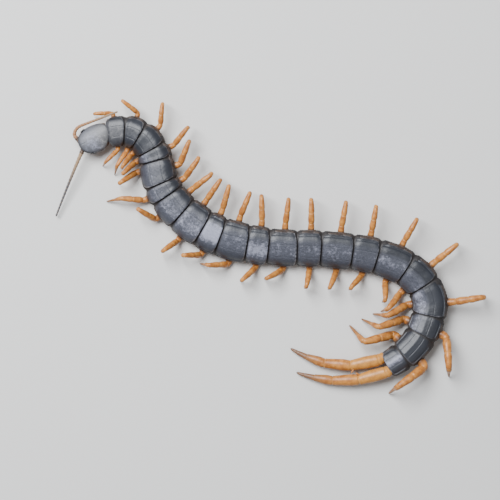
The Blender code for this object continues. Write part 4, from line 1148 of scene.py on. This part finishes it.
def claw_shapes(points, ankle, thick):
    """A leg's claw, a quadratic curve down to the floor, with two small spines at its root."""
    tip, bend, root = points[-1], points[-2], points[ankle]
    share = np.linspace(0, 1, 12)[:, None]
    path = root * (1 - share) ** 2 + 2 * share * (1 - share) * bend + share ** 2 * tip
    along = unit(bend - root)
    path = np.vstack((root - along * 0.25 * MM, path))
    radii = np.interp(np.linspace(0, 1, len(path)), (0, 0.3, 1), (0.15, 0.15, 0.02)) * MM * thick
    side = unit(np.cross(along, UP))
    shapes = [sweep(path, radii, 10, side, along=np.linspace(0, 1, len(path)))]
    for sign in SIDES.values():
        shapes.append(spike(root - along * 0.05 * MM, along + sign * side * 0.7 - UP * 0.3,
                            0.4 * MM * thick, 0.06 * MM * thick, sides=6, rows=5, along=0.5))
    return shapes


def ultimate_corners(trunk, side):
    """Corner points of an ultimate leg: its parts in line, each turned a little further inward,
    all at the one pitch that brings the claw to the floor."""
    centre, back, right, up = trunk.frames(trunk.length)
    heading = math.degrees(math.atan2(back[1], back[0]))
    root = (centre - right * SIDES[side] * ULTIMATE_SIDES[side] + back * (GAP / 2)
            - up * ULTIMATE_ROOT_DROP)
    claw = ULTIMATE_PARTS["claw"]
    parts = [(ULTIMATE_PARTS[name], 0) for name in ULTIMATE_HEADINGS if name != "root"]
    parts.extend((claw / 2, extra) for extra in ULTIMATE_CLAW_PITCHES)
    pitch = settle(root[2], parts)
    axes = np.eye(3)
    points = [root - back * 1.2 * MM, root]
    for name, inward in ULTIMATE_HEADINGS.items():
        turn = heading + inward * ULTIMATE_BENDS[side]
        along = direction(axes[0], axes[1], turn, 0 if name == "root" else -pitch)
        points.append(points[-1] + along * ULTIMATE_PARTS[name])
    for extra in ULTIMATE_CLAW_PITCHES:
        along = direction(axes[0], axes[1], turn, -min(pitch + extra, 90))
        points.append(points[-1] + along * claw / 2)
    points[-1][2] = 0.0
    return np.array(points), right * SIDES[side]


def ultimate_spines(root, along, inward, spine_length):
    """Spines on an ultimate prefemur: a cone with a dark point, each leaning toward the foot."""
    inner = unit(inward - along * np.dot(inward, along))
    below = np.cross(along, inner)
    below = below * -np.sign(below[2])
    shapes = []
    for part, angle, scale in ULTIMATE_SPINES:
        turn = math.radians(angle)
        outward = inner * math.cos(turn) + below * math.sin(turn)
        start = root + along * ULTIMATE_PARTS["prefemur"] * part + outward * 1.15 * MM
        way = outward * math.cos(ULTIMATE_SPINE_LEAN) + along * math.sin(ULTIMATE_SPINE_LEAN)
        shapes.append(spike(start, way, (spine_length + 0.3 * MM) * scale, 0.26 * MM * scale,
                            along=0.2, joint=0.0))
        shapes.append(spike(start + way * spine_length * scale * 0.82, way, 0.3 * MM * scale,
                            0.1 * MM * scale, sides=6, rows=5, along=1.0, joint=0.0))
    return shapes


def make_ultimate_leg(trunk, side, limb, finish):
    """An ultimate leg: an oval carried along its corners, with spines on the prefemur."""
    points, inward = ultimate_corners(trunk, side)
    path, where, reach = limb_path(points[:8], spacing=0.13 * MM, round_off=0.9 * MM)
    size, share = profile(where, reach, ULTIMATE_PROFILE)
    joints = reach[2:7]
    size = jointed(size, where, joints, ULTIMATE_JOINT_WIDTH, limb.waist, limb.flare)
    leg = sweep(path, size, 28, UP, flatten=0.9, along=share, gold=np.ones(len(where)),
                joint=near_joints(where, joints, 0.3 * MM))
    spines = ultimate_spines(points[2], unit(points[3] - points[2]), inward, limb.spine_length)
    make_piece(f"leg_{side}_21_dressed", [leg, *spines], finish, [f"leg_{side}_21"])
    return claw_shapes(points, 7, 1.5)


def tail_shapes(trunk):
    """The last flanks, as ellipsoids in front of the ultimate legs; below them two blunt
    processes with dark points; and between them the small end segment."""
    centre, back, right, up = trunk.frames(trunk.length)
    axes = np.array((back, right, up))
    way = back * math.cos(PROCESS_PITCH) - up * math.sin(PROCESS_PITCH)
    shapes = []
    for sign in SIDES.values():
        root = centre - right * sign * PROCESS_SIDE - up * PROCESS_DROP - back * PROCESS_LAP
        point = root + way * (PROCESS_LENGTH - POINT_LAP)
        shapes.append(spike(root, way, PROCESS_LENGTH, PROCESS_RADIUS, sides=14, rows=14, pit=0.0))
        shapes.append(spike(point, way, POINT_LENGTH, POINT_RADIUS, pit=1.0))
    for side, sign in SIDES.items():
        flank = centre - right * sign * (ULTIMATE_SIDES[side] - LAST_FLANK_INSET)
        flank = flank - back * LAST_FLANK_LAP - up * LAST_FLANK_DROP
        shapes.append(ellipsoid(flank, LAST_FLANK_AXES[:, None] * axes, pit=0.0))
    end = centre - up * END_DROP + back * END_BACK
    shapes.append(ellipsoid(end, END_AXES[:, None] * axes, pit=0.0))
    return shapes


# Finishes

PLATE_ROUGHNESS = 0.34
WORN_GREY = (0.36, 0.35, 0.37)
FLECK_GREY = (0.45, 0.43, 0.42)
# Painted shade for the tucked-in fronts of the backplates and the head plate's rim
FRONT_SHADE = (0.016, 0.014, 0.015)
HIP_BROWN = (0.15, 0.075, 0.036)
# Painted shade for the membrane's folds at the joints
FOLD_SHADE = (0.014, 0.011, 0.011)
GOLD = (0.60, 0.30, 0.055)
FOOT_BROWN = (0.17, 0.085, 0.045)
ROOT_BROWN = (0.060, 0.030, 0.018)
ANTENNA_TAN = (0.30, 0.19, 0.10)
ANTENNA_SLATE = (0.070, 0.066, 0.072)
ANTENNA_RUST = (0.34, 0.15, 0.055)
ANTENNA_STRAW = (0.27, 0.17, 0.09)
ANTENNA_SMOKE = (0.12, 0.10, 0.09)
ANTENNA_NECK = (0.36, 0.25, 0.15)
JAW_RED = (0.42, 0.12, 0.030)
JAW_DARK_RED = (0.26, 0.062, 0.018)
JAW_JOINT_BROWN = (0.13, 0.05, 0.022)
JAW_TIP_BLACK = (0.012, 0.007, 0.006)
UNDERSIDE_BROWN = (0.11, 0.060, 0.034)
UNDERSIDE_SHADE = (0.055, 0.038, 0.030)
BELLY_EDGE = (0.05, 0.028, 0.016)
SHIELD_BROWN = (0.060, 0.040, 0.030)
SHIELD_SHADE = (0.030, 0.024, 0.022)
HOLE_BLACK = (0.004, 0.003, 0.003)
CLAW_TIP_BLACK = (0.012, 0.007, 0.005)
CLAW_ROOT_BROWN = (0.10, 0.045, 0.02)
LENS_BLACK = (0.006, 0.006, 0.008)


class Wire:
    """A shader socket that understands arithmetic: each operator adds one Math node."""

    def __init__(self, finish, socket):
        self.finish = finish
        self.socket = socket

    def math(self, operation, other, flipped=False):
        """Join this socket and another value with one Math node."""
        pair = (other, self) if flipped else (self, other)
        return self.finish.node("ShaderNodeMath", {"operation": operation}, dict(enumerate(pair)))

    def __add__(self, other):
        return self.math("ADD", other)

    def __sub__(self, other):
        return self.math("SUBTRACT", other)

    def __rsub__(self, other):
        return self.math("SUBTRACT", other, flipped=True)

    def __mul__(self, other):
        return self.math("MULTIPLY", other)

    __radd__ = __add__
    __rmul__ = __mul__


class Finish:
    """One material: a Principled shader and the nodes that feed it."""

    def __init__(self, name, **constants):
        self.material = bpy.data.materials.new(name)
        self.material.use_nodes = True
        self.tree = self.material.node_tree
        self.shader = self.tree.nodes["Principled BSDF"]
        for socket, value in constants.items():
            self.shader.inputs[socket.replace("_", " ")].default_value = value

    def node(self, kind, settings, sockets, out=0):
        """Add a node: its settings first, then the values or links of its sockets."""
        made = self.tree.nodes.new(kind)
        for name, value in settings.items():
            setattr(made, name, value)
        for name, value in sockets.items():
            self.feed(made.inputs[name], value)
        return Wire(self, made.outputs[out])

    def feed(self, socket, value):
        """Link a wire to a socket, or set the socket to a number or colour."""
        if isinstance(value, Wire):
            self.tree.links.new(value.socket, socket)
        elif np.ndim(value):
            filled = list(value) + [1.0] * (len(socket.default_value) - len(value))
            socket.default_value = filled
        else:
            socket.default_value = value

    def mark(self, name):
        """A mark that the mesh carries on its points."""
        return self.node("ShaderNodeAttribute", {"attribute_name": name}, {}, out="Fac")

    def place(self):
        """The point's own place, in metres."""
        return self.node("ShaderNodeTexCoord", {}, {}, out="Object")

    def noise(self, size, detail=3.0, roughness=0.55):
        """Noise whose features are about that size in millimetres."""
        return self.node("ShaderNodeTexNoise", {}, {
            "Vector": self.place(), "Scale": 1 / (size * MM), "Detail": detail,
            "Roughness": roughness})

    def streaks(self, length, width):
        """Noise drawn out along a plate, from the length and width marks in millimetres."""
        where = self.node("ShaderNodeCombineXYZ", {}, {
            "X": self.mark("length") * (1 / length), "Y": self.mark("width") * (1 / width)})
        return self.node("ShaderNodeTexNoise", {}, {
            "Vector": where, "Scale": 1.0, "Detail": 4.0, "Roughness": 0.6})

    def cells(self, size):
        """Distance to the nearest of scattered points about that many millimetres apart."""
        return self.node("ShaderNodeTexVoronoi", {"feature": "F1"}, {
            "Vector": self.place(), "Scale": 1 / (size * MM)})

    def window(self, value, low, high):
        """Rise smoothly from 0 to 1 between low and high."""
        return self.node("ShaderNodeMapRange", {"interpolation_type": "SMOOTHSTEP"}, {
            "Value": value, "From Min": low, "From Max": high})

    def mix(self, share, first, second):
        """Blend two colours by a share."""
        return self.node("ShaderNodeMix", {"data_type": "RGBA"},
                         {0: share, 6: first, 7: second}, out=2)

    def done(self, colour, roughness, height, depth):
        """Feed the shader a colour, a roughness and a height, in shares of a depth in
        millimetres, and hand over the material."""
        normal = self.node("ShaderNodeBump", {}, {"Height": height, "Strength": 1.0,
                                                  "Distance": depth * MM})
        for socket, value in (("Base Color", colour), ("Roughness", roughness),
                              ("Normal", normal)):
            self.feed(self.shader.inputs[socket], value)
        return self.material


def scaled(colour, *shares):
    """A colour with each channel times its own share, or all three times one share."""
    return tuple(channel * share for channel, share in zip(colour, shares * (3 // len(shares))))


def plate_finish(name, base, dust, wear):
    """Dark satin shell under patchy and brushed dust that is also a painted lavender sheen, pale
    where its edge is worn, with pale flecks, painted shade along its front and fine pits."""
    finish = Finish(name, Coat_Weight=0.05, Coat_Roughness=0.4, Specular_IOR_Level=0.45)
    broad = finish.noise(4.0, 3)
    patchy = finish.noise(0.9, 6, 0.65)
    speck = finish.noise(0.20, 3, 0.6)
    streak = finish.streaks(1.1, 0.15)
    # The dust load also carries a painted sheen: patches and streaks of a pale lavender layer, partly
    # real dust and partly painted light
    load = finish.mark("dust")
    dust_and_sheen_patches = finish.window(broad * 0.3 + patchy * 0.5 + speck * 0.2, 0.71 - load * 0.36,
                            0.90 - load * 0.36)
    brushed = finish.window(streak * 0.55 + speck * 0.45, 0.42, 0.64)
    dust_and_sheen_share = dust_and_sheen_patches * 0.58 + brushed * load * 0.26 + load * 0.13
    tone = finish.mix(finish.window(broad, 0.3, 0.7), base, scaled(base, 0.7))
    dust = finish.mix(finish.mark("brown"), dust, scaled(dust, 0.95, 0.88, 0.68))
    colour = finish.mix(dust_and_sheen_share, tone, dust)
    worn = finish.mark("edge") * finish.window(patchy * 0.7 + speck * 0.3, 0.40, 0.62)
    colour = finish.mix(worn * wear, colour, WORN_GREY)
    fleck = finish.window(finish.noise(0.2, 2), 0.70, 0.76) * finish.window(broad, 0.42, 0.6)
    colour = finish.mix(fleck * 0.4, colour, FLECK_GREY)
    # Painted shade: darker at a backplate's front, under the plate ahead, and round the head plate's
    # rim
    colour = finish.mix(finish.mark("front") * 0.7, colour, FRONT_SHADE)
    pits = finish.window(finish.cells(0.42), 0.05, 0.20)
    height = streak * 0.28 + patchy * 0.22 + pits * 0.12 + speck * 0.30
    return finish.done(colour, dust_and_sheen_share * 0.22 + speck * 0.14 + PLATE_ROUGHNESS, height, 0.07)


def membrane_finish(base):
    """Dark leathery membrane, browner round the leg bases, with painted shade in the folds at the
    joints and fine wrinkles.
    """
    finish = Finish("membrane", Specular_IOR_Level=0.4)
    patchy = finish.noise(1.1, 5, 0.6)
    fine = finish.noise(0.22, 4, 0.65)
    brown = finish.mark("base") * finish.window(patchy, 0.30, 0.62)
    colour = finish.mix(patchy, base, scaled(base, 1.7))
    colour = finish.mix(brown * 0.75, colour, HIP_BROWN)
    # Painted shade in the pinched folds between segments
    colour = finish.mix(finish.mark("joint") * 0.6, colour, FOLD_SHADE)
    return finish.done(colour, fine * 0.25 + 0.42, fine * 0.6 + patchy * 0.4, 0.09)


def leg_finish(orange, tan):
    """Orange shell: dark at the root, a little tan at the joints and brown toward the foot; the
    gold mark makes the ultimate legs golden at the base and dusky in their far half."""
    finish = Finish("leg_shell", Coat_Weight=0.05, Coat_Roughness=0.25, Specular_IOR_Level=0.32,
                    Subsurface_Weight=0.10, Subsurface_Radius=(0.9, 0.35, 0.12),
                    Subsurface_Scale=0.5 * MM)
    along, joint = finish.mark("along"), finish.mark("joint")
    patchy = finish.noise(1.3, 5, 0.6)
    fine = finish.noise(0.24, 4, 0.6)
    colour = finish.mix(finish.window(patchy, 0.36, 0.64), orange,
                        scaled(orange, 0.62, 0.52, 0.5))
    colour = finish.mix(finish.window(fine, 0.5, 0.75) * 0.35, colour, tan)
    colour = finish.mix(joint * 0.18, colour, tan)
    gold = finish.mark("gold")
    golden = gold * (1 - finish.window(along, 0.3, 0.45)) * 0.3
    colour = finish.mix(golden, colour, GOLD)
    foot = finish.window(along, 0.60, 0.98) * 0.75 + gold * finish.window(along, 0.50, 0.80) * 0.4
    colour = finish.mix(foot, colour, FOOT_BROWN)
    root = 1 - finish.window(along, 0.01, 0.05)
    colour = finish.mix(root * 0.8, colour, ROOT_BROWN)
    return finish.done(colour, patchy * 0.22 + 0.26, patchy * 0.5 + fine * 0.5, 0.035)


def antenna_finish():
    """Fine-haired articles: tan at the base of the left one, slate further out, rust on the
    right one, with pale necks between the articles."""
    finish = Finish("antenna_shell", Specular_IOR_Level=0.4)
    along, joint, rust = finish.mark("along"), finish.mark("joint"), finish.mark("rust")
    fine = finish.noise(0.13, 3, 0.6)
    patchy = finish.noise(1.2, 4)
    slate = finish.mix(finish.window(along, 0.12, 0.55), ANTENNA_TAN, ANTENNA_SLATE)
    rusty = finish.mix(finish.window(along, 0.2, 0.9), ANTENNA_RUST, ANTENNA_STRAW)
    colour = finish.mix(rust, slate, rusty)
    colour = finish.mix(patchy * 0.4, colour, ANTENNA_SMOKE)
    colour = finish.mix(joint * 0.45, colour, ANTENNA_NECK)
    hairs = finish.window(finish.cells(0.09), 0.1, 0.6)
    return finish.done(colour, fine * 0.25 + 0.42, fine * 0.4 + hairs * 0.6, 0.03)


def jaw_finish():
    """Red-orange shell that darkens to black at the tips."""
    finish = Finish("jaw_shell", Coat_Weight=0.25, Coat_Roughness=0.18)
    along, joint = finish.mark("along"), finish.mark("joint")
    patchy = finish.noise(1.2, 5, 0.6)
    colour = finish.mix(finish.window(patchy, 0.35, 0.68), JAW_RED, JAW_DARK_RED)
    colour = finish.mix(joint * 0.55, colour, JAW_JOINT_BROWN)
    colour = finish.mix(finish.window(along, 0.62, 0.86), colour, JAW_TIP_BLACK)
    return finish.done(colour, patchy * 0.18 + 0.22, patchy, 0.03)


def flesh_finish():
    """Brown shell below the head plate."""
    finish = Finish("head_underside", Specular_IOR_Level=0.45)
    patchy = finish.noise(0.9, 5, 0.6)
    fine = finish.noise(0.2, 3)
    colour = finish.mix(patchy, UNDERSIDE_BROWN, UNDERSIDE_SHADE)
    return finish.done(colour, fine * 0.2 + 0.36, patchy * 0.5 + fine * 0.5, 0.05)


def belly_finish(base):
    """Breastplates: olive brown shell, darker at the edges."""
    finish = Finish("breastplate_shell", Coat_Weight=0.1, Coat_Roughness=0.3)
    patchy = finish.noise(1.6, 5, 0.6)
    fine = finish.noise(0.25, 4)
    colour = finish.mix(finish.window(patchy, 0.35, 0.7), base, scaled(base, 0.55))
    colour = finish.mix(finish.mark("edge") * 0.5, colour, BELLY_EDGE)
    return finish.done(colour, fine * 0.2 + 0.30, patchy * 0.6 + fine * 0.4, 0.05)


def shield_finish():
    """Flank shields and breathing holes: dark brown shell, with the holes painted black as the shade
    of their openings.
    """
    finish = Finish("flank_shell", Coat_Weight=0.12, Coat_Roughness=0.3)
    patchy = finish.noise(0.8, 5, 0.6)
    colour = finish.mix(patchy, SHIELD_BROWN, SHIELD_SHADE)
    # Painted shade: the breathing holes are domes painted black for their openings; the tail
    # processes' points are black in their own colour
    colour = finish.mix(finish.mark("pit"), colour, HOLE_BLACK)
    return finish.done(colour, patchy * 0.25 + 0.30, patchy, 0.04)


def glossy_finish(name, tip, root, roughness):
    """Polished dark shell that goes from a root colour to a tip colour along its mark."""
    finish = Finish(name, Coat_Weight=0.4, Coat_Roughness=0.08)
    fine = finish.noise(0.3, 3)
    colour = finish.mix(finish.window(finish.mark("along"), 0.1, 0.7), root, tip)
    return finish.done(colour, fine * 0.08 + roughness, fine, 0.008)


FINISHES = {}


def finishes():
    """Make each material once and hand them out by name."""
    if not FINISHES:
        colours = bpy.context.scene.centipede_colours
        slate, dust = tuple(colours.slate), tuple(colours.dust)
        FINISHES.update({
            "plate": plate_finish("backplate_shell", slate, dust, 0.75),
            "head": plate_finish("head_shell", tuple(colours.head), dust, 0.0),
            "membrane": membrane_finish(tuple(colours.membrane)),
            "leg": leg_finish(tuple(colours.orange), tuple(colours.tan)),
            "antenna": antenna_finish(),
            "jaw": jaw_finish(),
            "flesh": flesh_finish(),
            "belly": belly_finish(tuple(colours.belly)),
            "shield": shield_finish(),
            "eye": glossy_finish("ocellus_lens", LENS_BLACK, LENS_BLACK, 0.08),
            "claw": glossy_finish("claw_shell", CLAW_TIP_BLACK, CLAW_ROOT_BROWN, 0.18),
        })
    return FINISHES


# One operator for each piece or group of like pieces

def lay_plates(name, shape, finish):
    """Lay one plate on each segment, its shape from a function of trunk, segment and settings."""
    trunk, settings = Trunk(), bpy.context.scene.centipede_trunk
    for segment in range(1, SEGMENTS + 1):
        make_piece(f"{name}_{segment:02d}", [shape(trunk, segment, settings)], finish)


class CENTIPEDE_OT_membrane(bpy.types.Operator):
    """Wrap the whole trunk in one folded membrane"""

    bl_idname = "centipede.membrane"
    bl_label = "Membrane"

    def execute(self, context):
        make_membrane(Trunk(), context.scene.centipede_trunk, finishes()["membrane"])
        return {"FINISHED"}


class CENTIPEDE_OT_backplates(bpy.types.Operator):
    """Lay a backplate on each of the 21 segments"""

    bl_idname = "centipede.backplates"
    bl_label = "Backplates"

    def execute(self, context):
        lay_plates("backplate", backplate, finishes()["plate"])
        return {"FINISHED"}


class CENTIPEDE_OT_breastplates(bpy.types.Operator):
    """Lay a breastplate under each of the 21 segments"""

    bl_idname = "centipede.breastplates"
    bl_label = "Breastplates"

    def execute(self, context):
        lay_plates("breastplate", breastplate, finishes()["belly"])
        return {"FINISHED"}


class CENTIPEDE_OT_flanks(bpy.types.Operator):
    """Set the small shields and the breathing holes into the flanks"""

    bl_idname = "centipede.flanks"
    bl_label = "Flank shields"

    def execute(self, context):
        trunk = Trunk()
        for side, sign in SIDES.items():
            middle = math.pi if sign > 0 else 0.0
            shapes = []
            for segment in range(1, SEGMENTS + 1):
                start, stop = trunk.span(segment)
                length = stop - start
                rows = [(*row, 0.0) for row in SHIELDS]
                if segment in BREATHING_SEGMENTS:
                    rows.append((*BREATHING_HOLE, 1.0))
                for behind, above, half_length, half_angle, height, pit in rows:
                    shapes.append(flank_shield(
                        trunk, trunk.leg_distance(segment) + behind * length,
                        middle - sign * above, half_length * length, half_angle, height * MM,
                        pit=pit))
            make_piece(f"flank_shields_{side}", shapes, finishes()["shield"])
        return {"FINISHED"}


class CENTIPEDE_OT_head(bpy.types.Operator):
    """Make the head plate, the capsule below it, the antenna sockets and the ocelli"""

    bl_idname = "centipede.head"
    bl_label = "Head"

    def execute(self, context):
        make_head(Head(Trunk()), finishes())
        return {"FINISHED"}


class CENTIPEDE_OT_jaws(bpy.types.Operator):
    """Make the plate, teeth and venom claws under the head, and the palps"""

    bl_idname = "centipede.jaws"
    bl_label = "Venom claws"

    def execute(self, context):
        head = Head(Trunk())
        make_jaws(head, finishes()["jaw"])
        make_palps(head, finishes()["flesh"])
        return {"FINISHED"}


class CENTIPEDE_OT_antennae(bpy.types.Operator):
    """Make both antennae, article by article"""

    bl_idname = "centipede.antennae"
    bl_label = "Antennae"

    def execute(self, context):
        head = Head(Trunk())
        for side in SIDES:
            make_antenna(head, side, finishes()["antenna"])
        return {"FINISHED"}


class CENTIPEDE_OT_legs(bpy.types.Operator):
    """Make the twenty pairs of walking legs, the ultimate pair and all their claws"""

    bl_idname = "centipede.legs"
    bl_label = "Legs"

    def execute(self, context):
        trunk, limb, finish = Trunk(), context.scene.centipede_limbs, finishes()["leg"]
        for side in SIDES:
            claws = []
            for segment in range(1, SEGMENTS):
                claws.extend(make_walking_leg(trunk, segment, side, limb, finish))
            claws.extend(make_ultimate_leg(trunk, side, limb, finish))
            make_piece(f"claws_{side}", claws, finishes()["claw"])
        return {"FINISHED"}


class CENTIPEDE_OT_tail(bpy.types.Operator):
    """Make the last flanks with their processes and the small end segment"""

    bl_idname = "centipede.tail"
    bl_label = "Tail end"

    def execute(self, context):
        shapes = tail_shapes(Trunk())
        make_piece("tail_end", shapes, finishes()["shield"])
        return {"FINISHED"}


def area_light(name, place, target, size, power, colour):
    """A square soft light at a place, turned to a target."""
    light = bpy.data.lights.new(name, "AREA")
    light.shape = "SQUARE"
    light.size = size
    light.energy = power
    light.color = colour
    item = bpy.data.objects.new(name, light)
    item.location = place
    item.rotation_euler = (Vector(target) - Vector(place)).to_track_quat("-Z", "Y").to_euler()
    bpy.context.scene.collection.objects.link(item)


class CENTIPEDE_OT_stage(bpy.types.Operator):
    """Make the floor, the soft light and the camera"""

    bl_idname = "centipede.stage"
    bl_label = "Stage"

    def execute(self, context):
        scene = context.scene
        mesh = bpy.data.meshes.new("floor")
        corners = [(x * FLOOR_REACH, y * FLOOR_REACH, 0)
                   for x, y in ((-1, -1), (1, -1), (1, 1), (-1, 1))]
        mesh.from_pydata(corners, (), [(0, 1, 2, 3)])
        floor = bpy.data.objects.new("floor", mesh)
        floor.location.z = -FLOOR_DROP
        pale = Finish("pale_floor", Base_Color=FLOOR_COLOUR, Roughness=FLOOR_ROUGHNESS)
        mesh.materials.append(pale.material)
        scene.collection.objects.link(floor)
        for name, (place, size, power, colour) in LIGHTS.items():
            area_light(name, place, (*VIEW_CENTRE, 0.0), size, power, colour)
        world = bpy.data.worlds.new("soft_sky")
        world.use_nodes = True
        sky = world.node_tree.nodes["Background"].inputs
        sky["Color"].default_value = SKY_COLOUR
        sky["Strength"].default_value = SKY_STRENGTH
        scene.world = world
        camera = bpy.data.cameras.new("camera")
        camera.sensor_width = SENSOR
        camera.lens = SENSOR * (CAMERA_HEIGHT - VIEW_LEVEL) / VIEW_WIDTH
        item = bpy.data.objects.new("camera", camera)
        item.location = (*VIEW_CENTRE, CAMERA_HEIGHT)
        scene.collection.objects.link(item)
        scene.camera = item
        return {"FINISHED"}


class CENTIPEDE_PT_panel(bpy.types.Panel):
    """Lists the pieces and their settings"""

    bl_idname = "CENTIPEDE_PT_panel"
    bl_label = "Giant Centipede"
    bl_space_type = "VIEW_3D"
    bl_region_type = "UI"
    bl_category = "Centipede"

    def draw(self, context):
        for group in ("centipede_trunk", "centipede_limbs", "centipede_colours"):
            settings = getattr(context.scene, group)
            for name in settings.__annotations__:
                self.layout.prop(settings, name)
        for operator in OPERATORS:
            self.layout.operator(operator.bl_idname)


OPERATORS = (CENTIPEDE_OT_membrane, CENTIPEDE_OT_backplates, CENTIPEDE_OT_breastplates,
             CENTIPEDE_OT_flanks, CENTIPEDE_OT_head, CENTIPEDE_OT_jaws, CENTIPEDE_OT_antennae,
             CENTIPEDE_OT_legs, CENTIPEDE_OT_tail, CENTIPEDE_OT_stage)
GROUPS = {"centipede_trunk": CentipedeTrunkSettings, "centipede_limbs": CentipedeLimbSettings,
          "centipede_colours": CentipedeColourSettings}


def register():
    """Register the settings, operators and panel."""
    for name, group in GROUPS.items():
        bpy.utils.register_class(group)
        setattr(bpy.types.Scene, name, PointerProperty(type=group))
    for operator in OPERATORS:
        bpy.utils.register_class(operator)
    bpy.utils.register_class(CENTIPEDE_PT_panel)


def unregister():
    """Take away what register added."""
    bpy.utils.unregister_class(CENTIPEDE_PT_panel)
    for operator in reversed(OPERATORS):
        bpy.utils.unregister_class(operator)
    for name, group in GROUPS.items():
        delattr(bpy.types.Scene, name)
        bpy.utils.unregister_class(group)


def main():
    """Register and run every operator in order."""
    register()
    for operator in OPERATORS:
        group, name = operator.bl_idname.split(".")
        getattr(getattr(bpy.ops, group), name)()


if __name__ == "__main__":
    main()
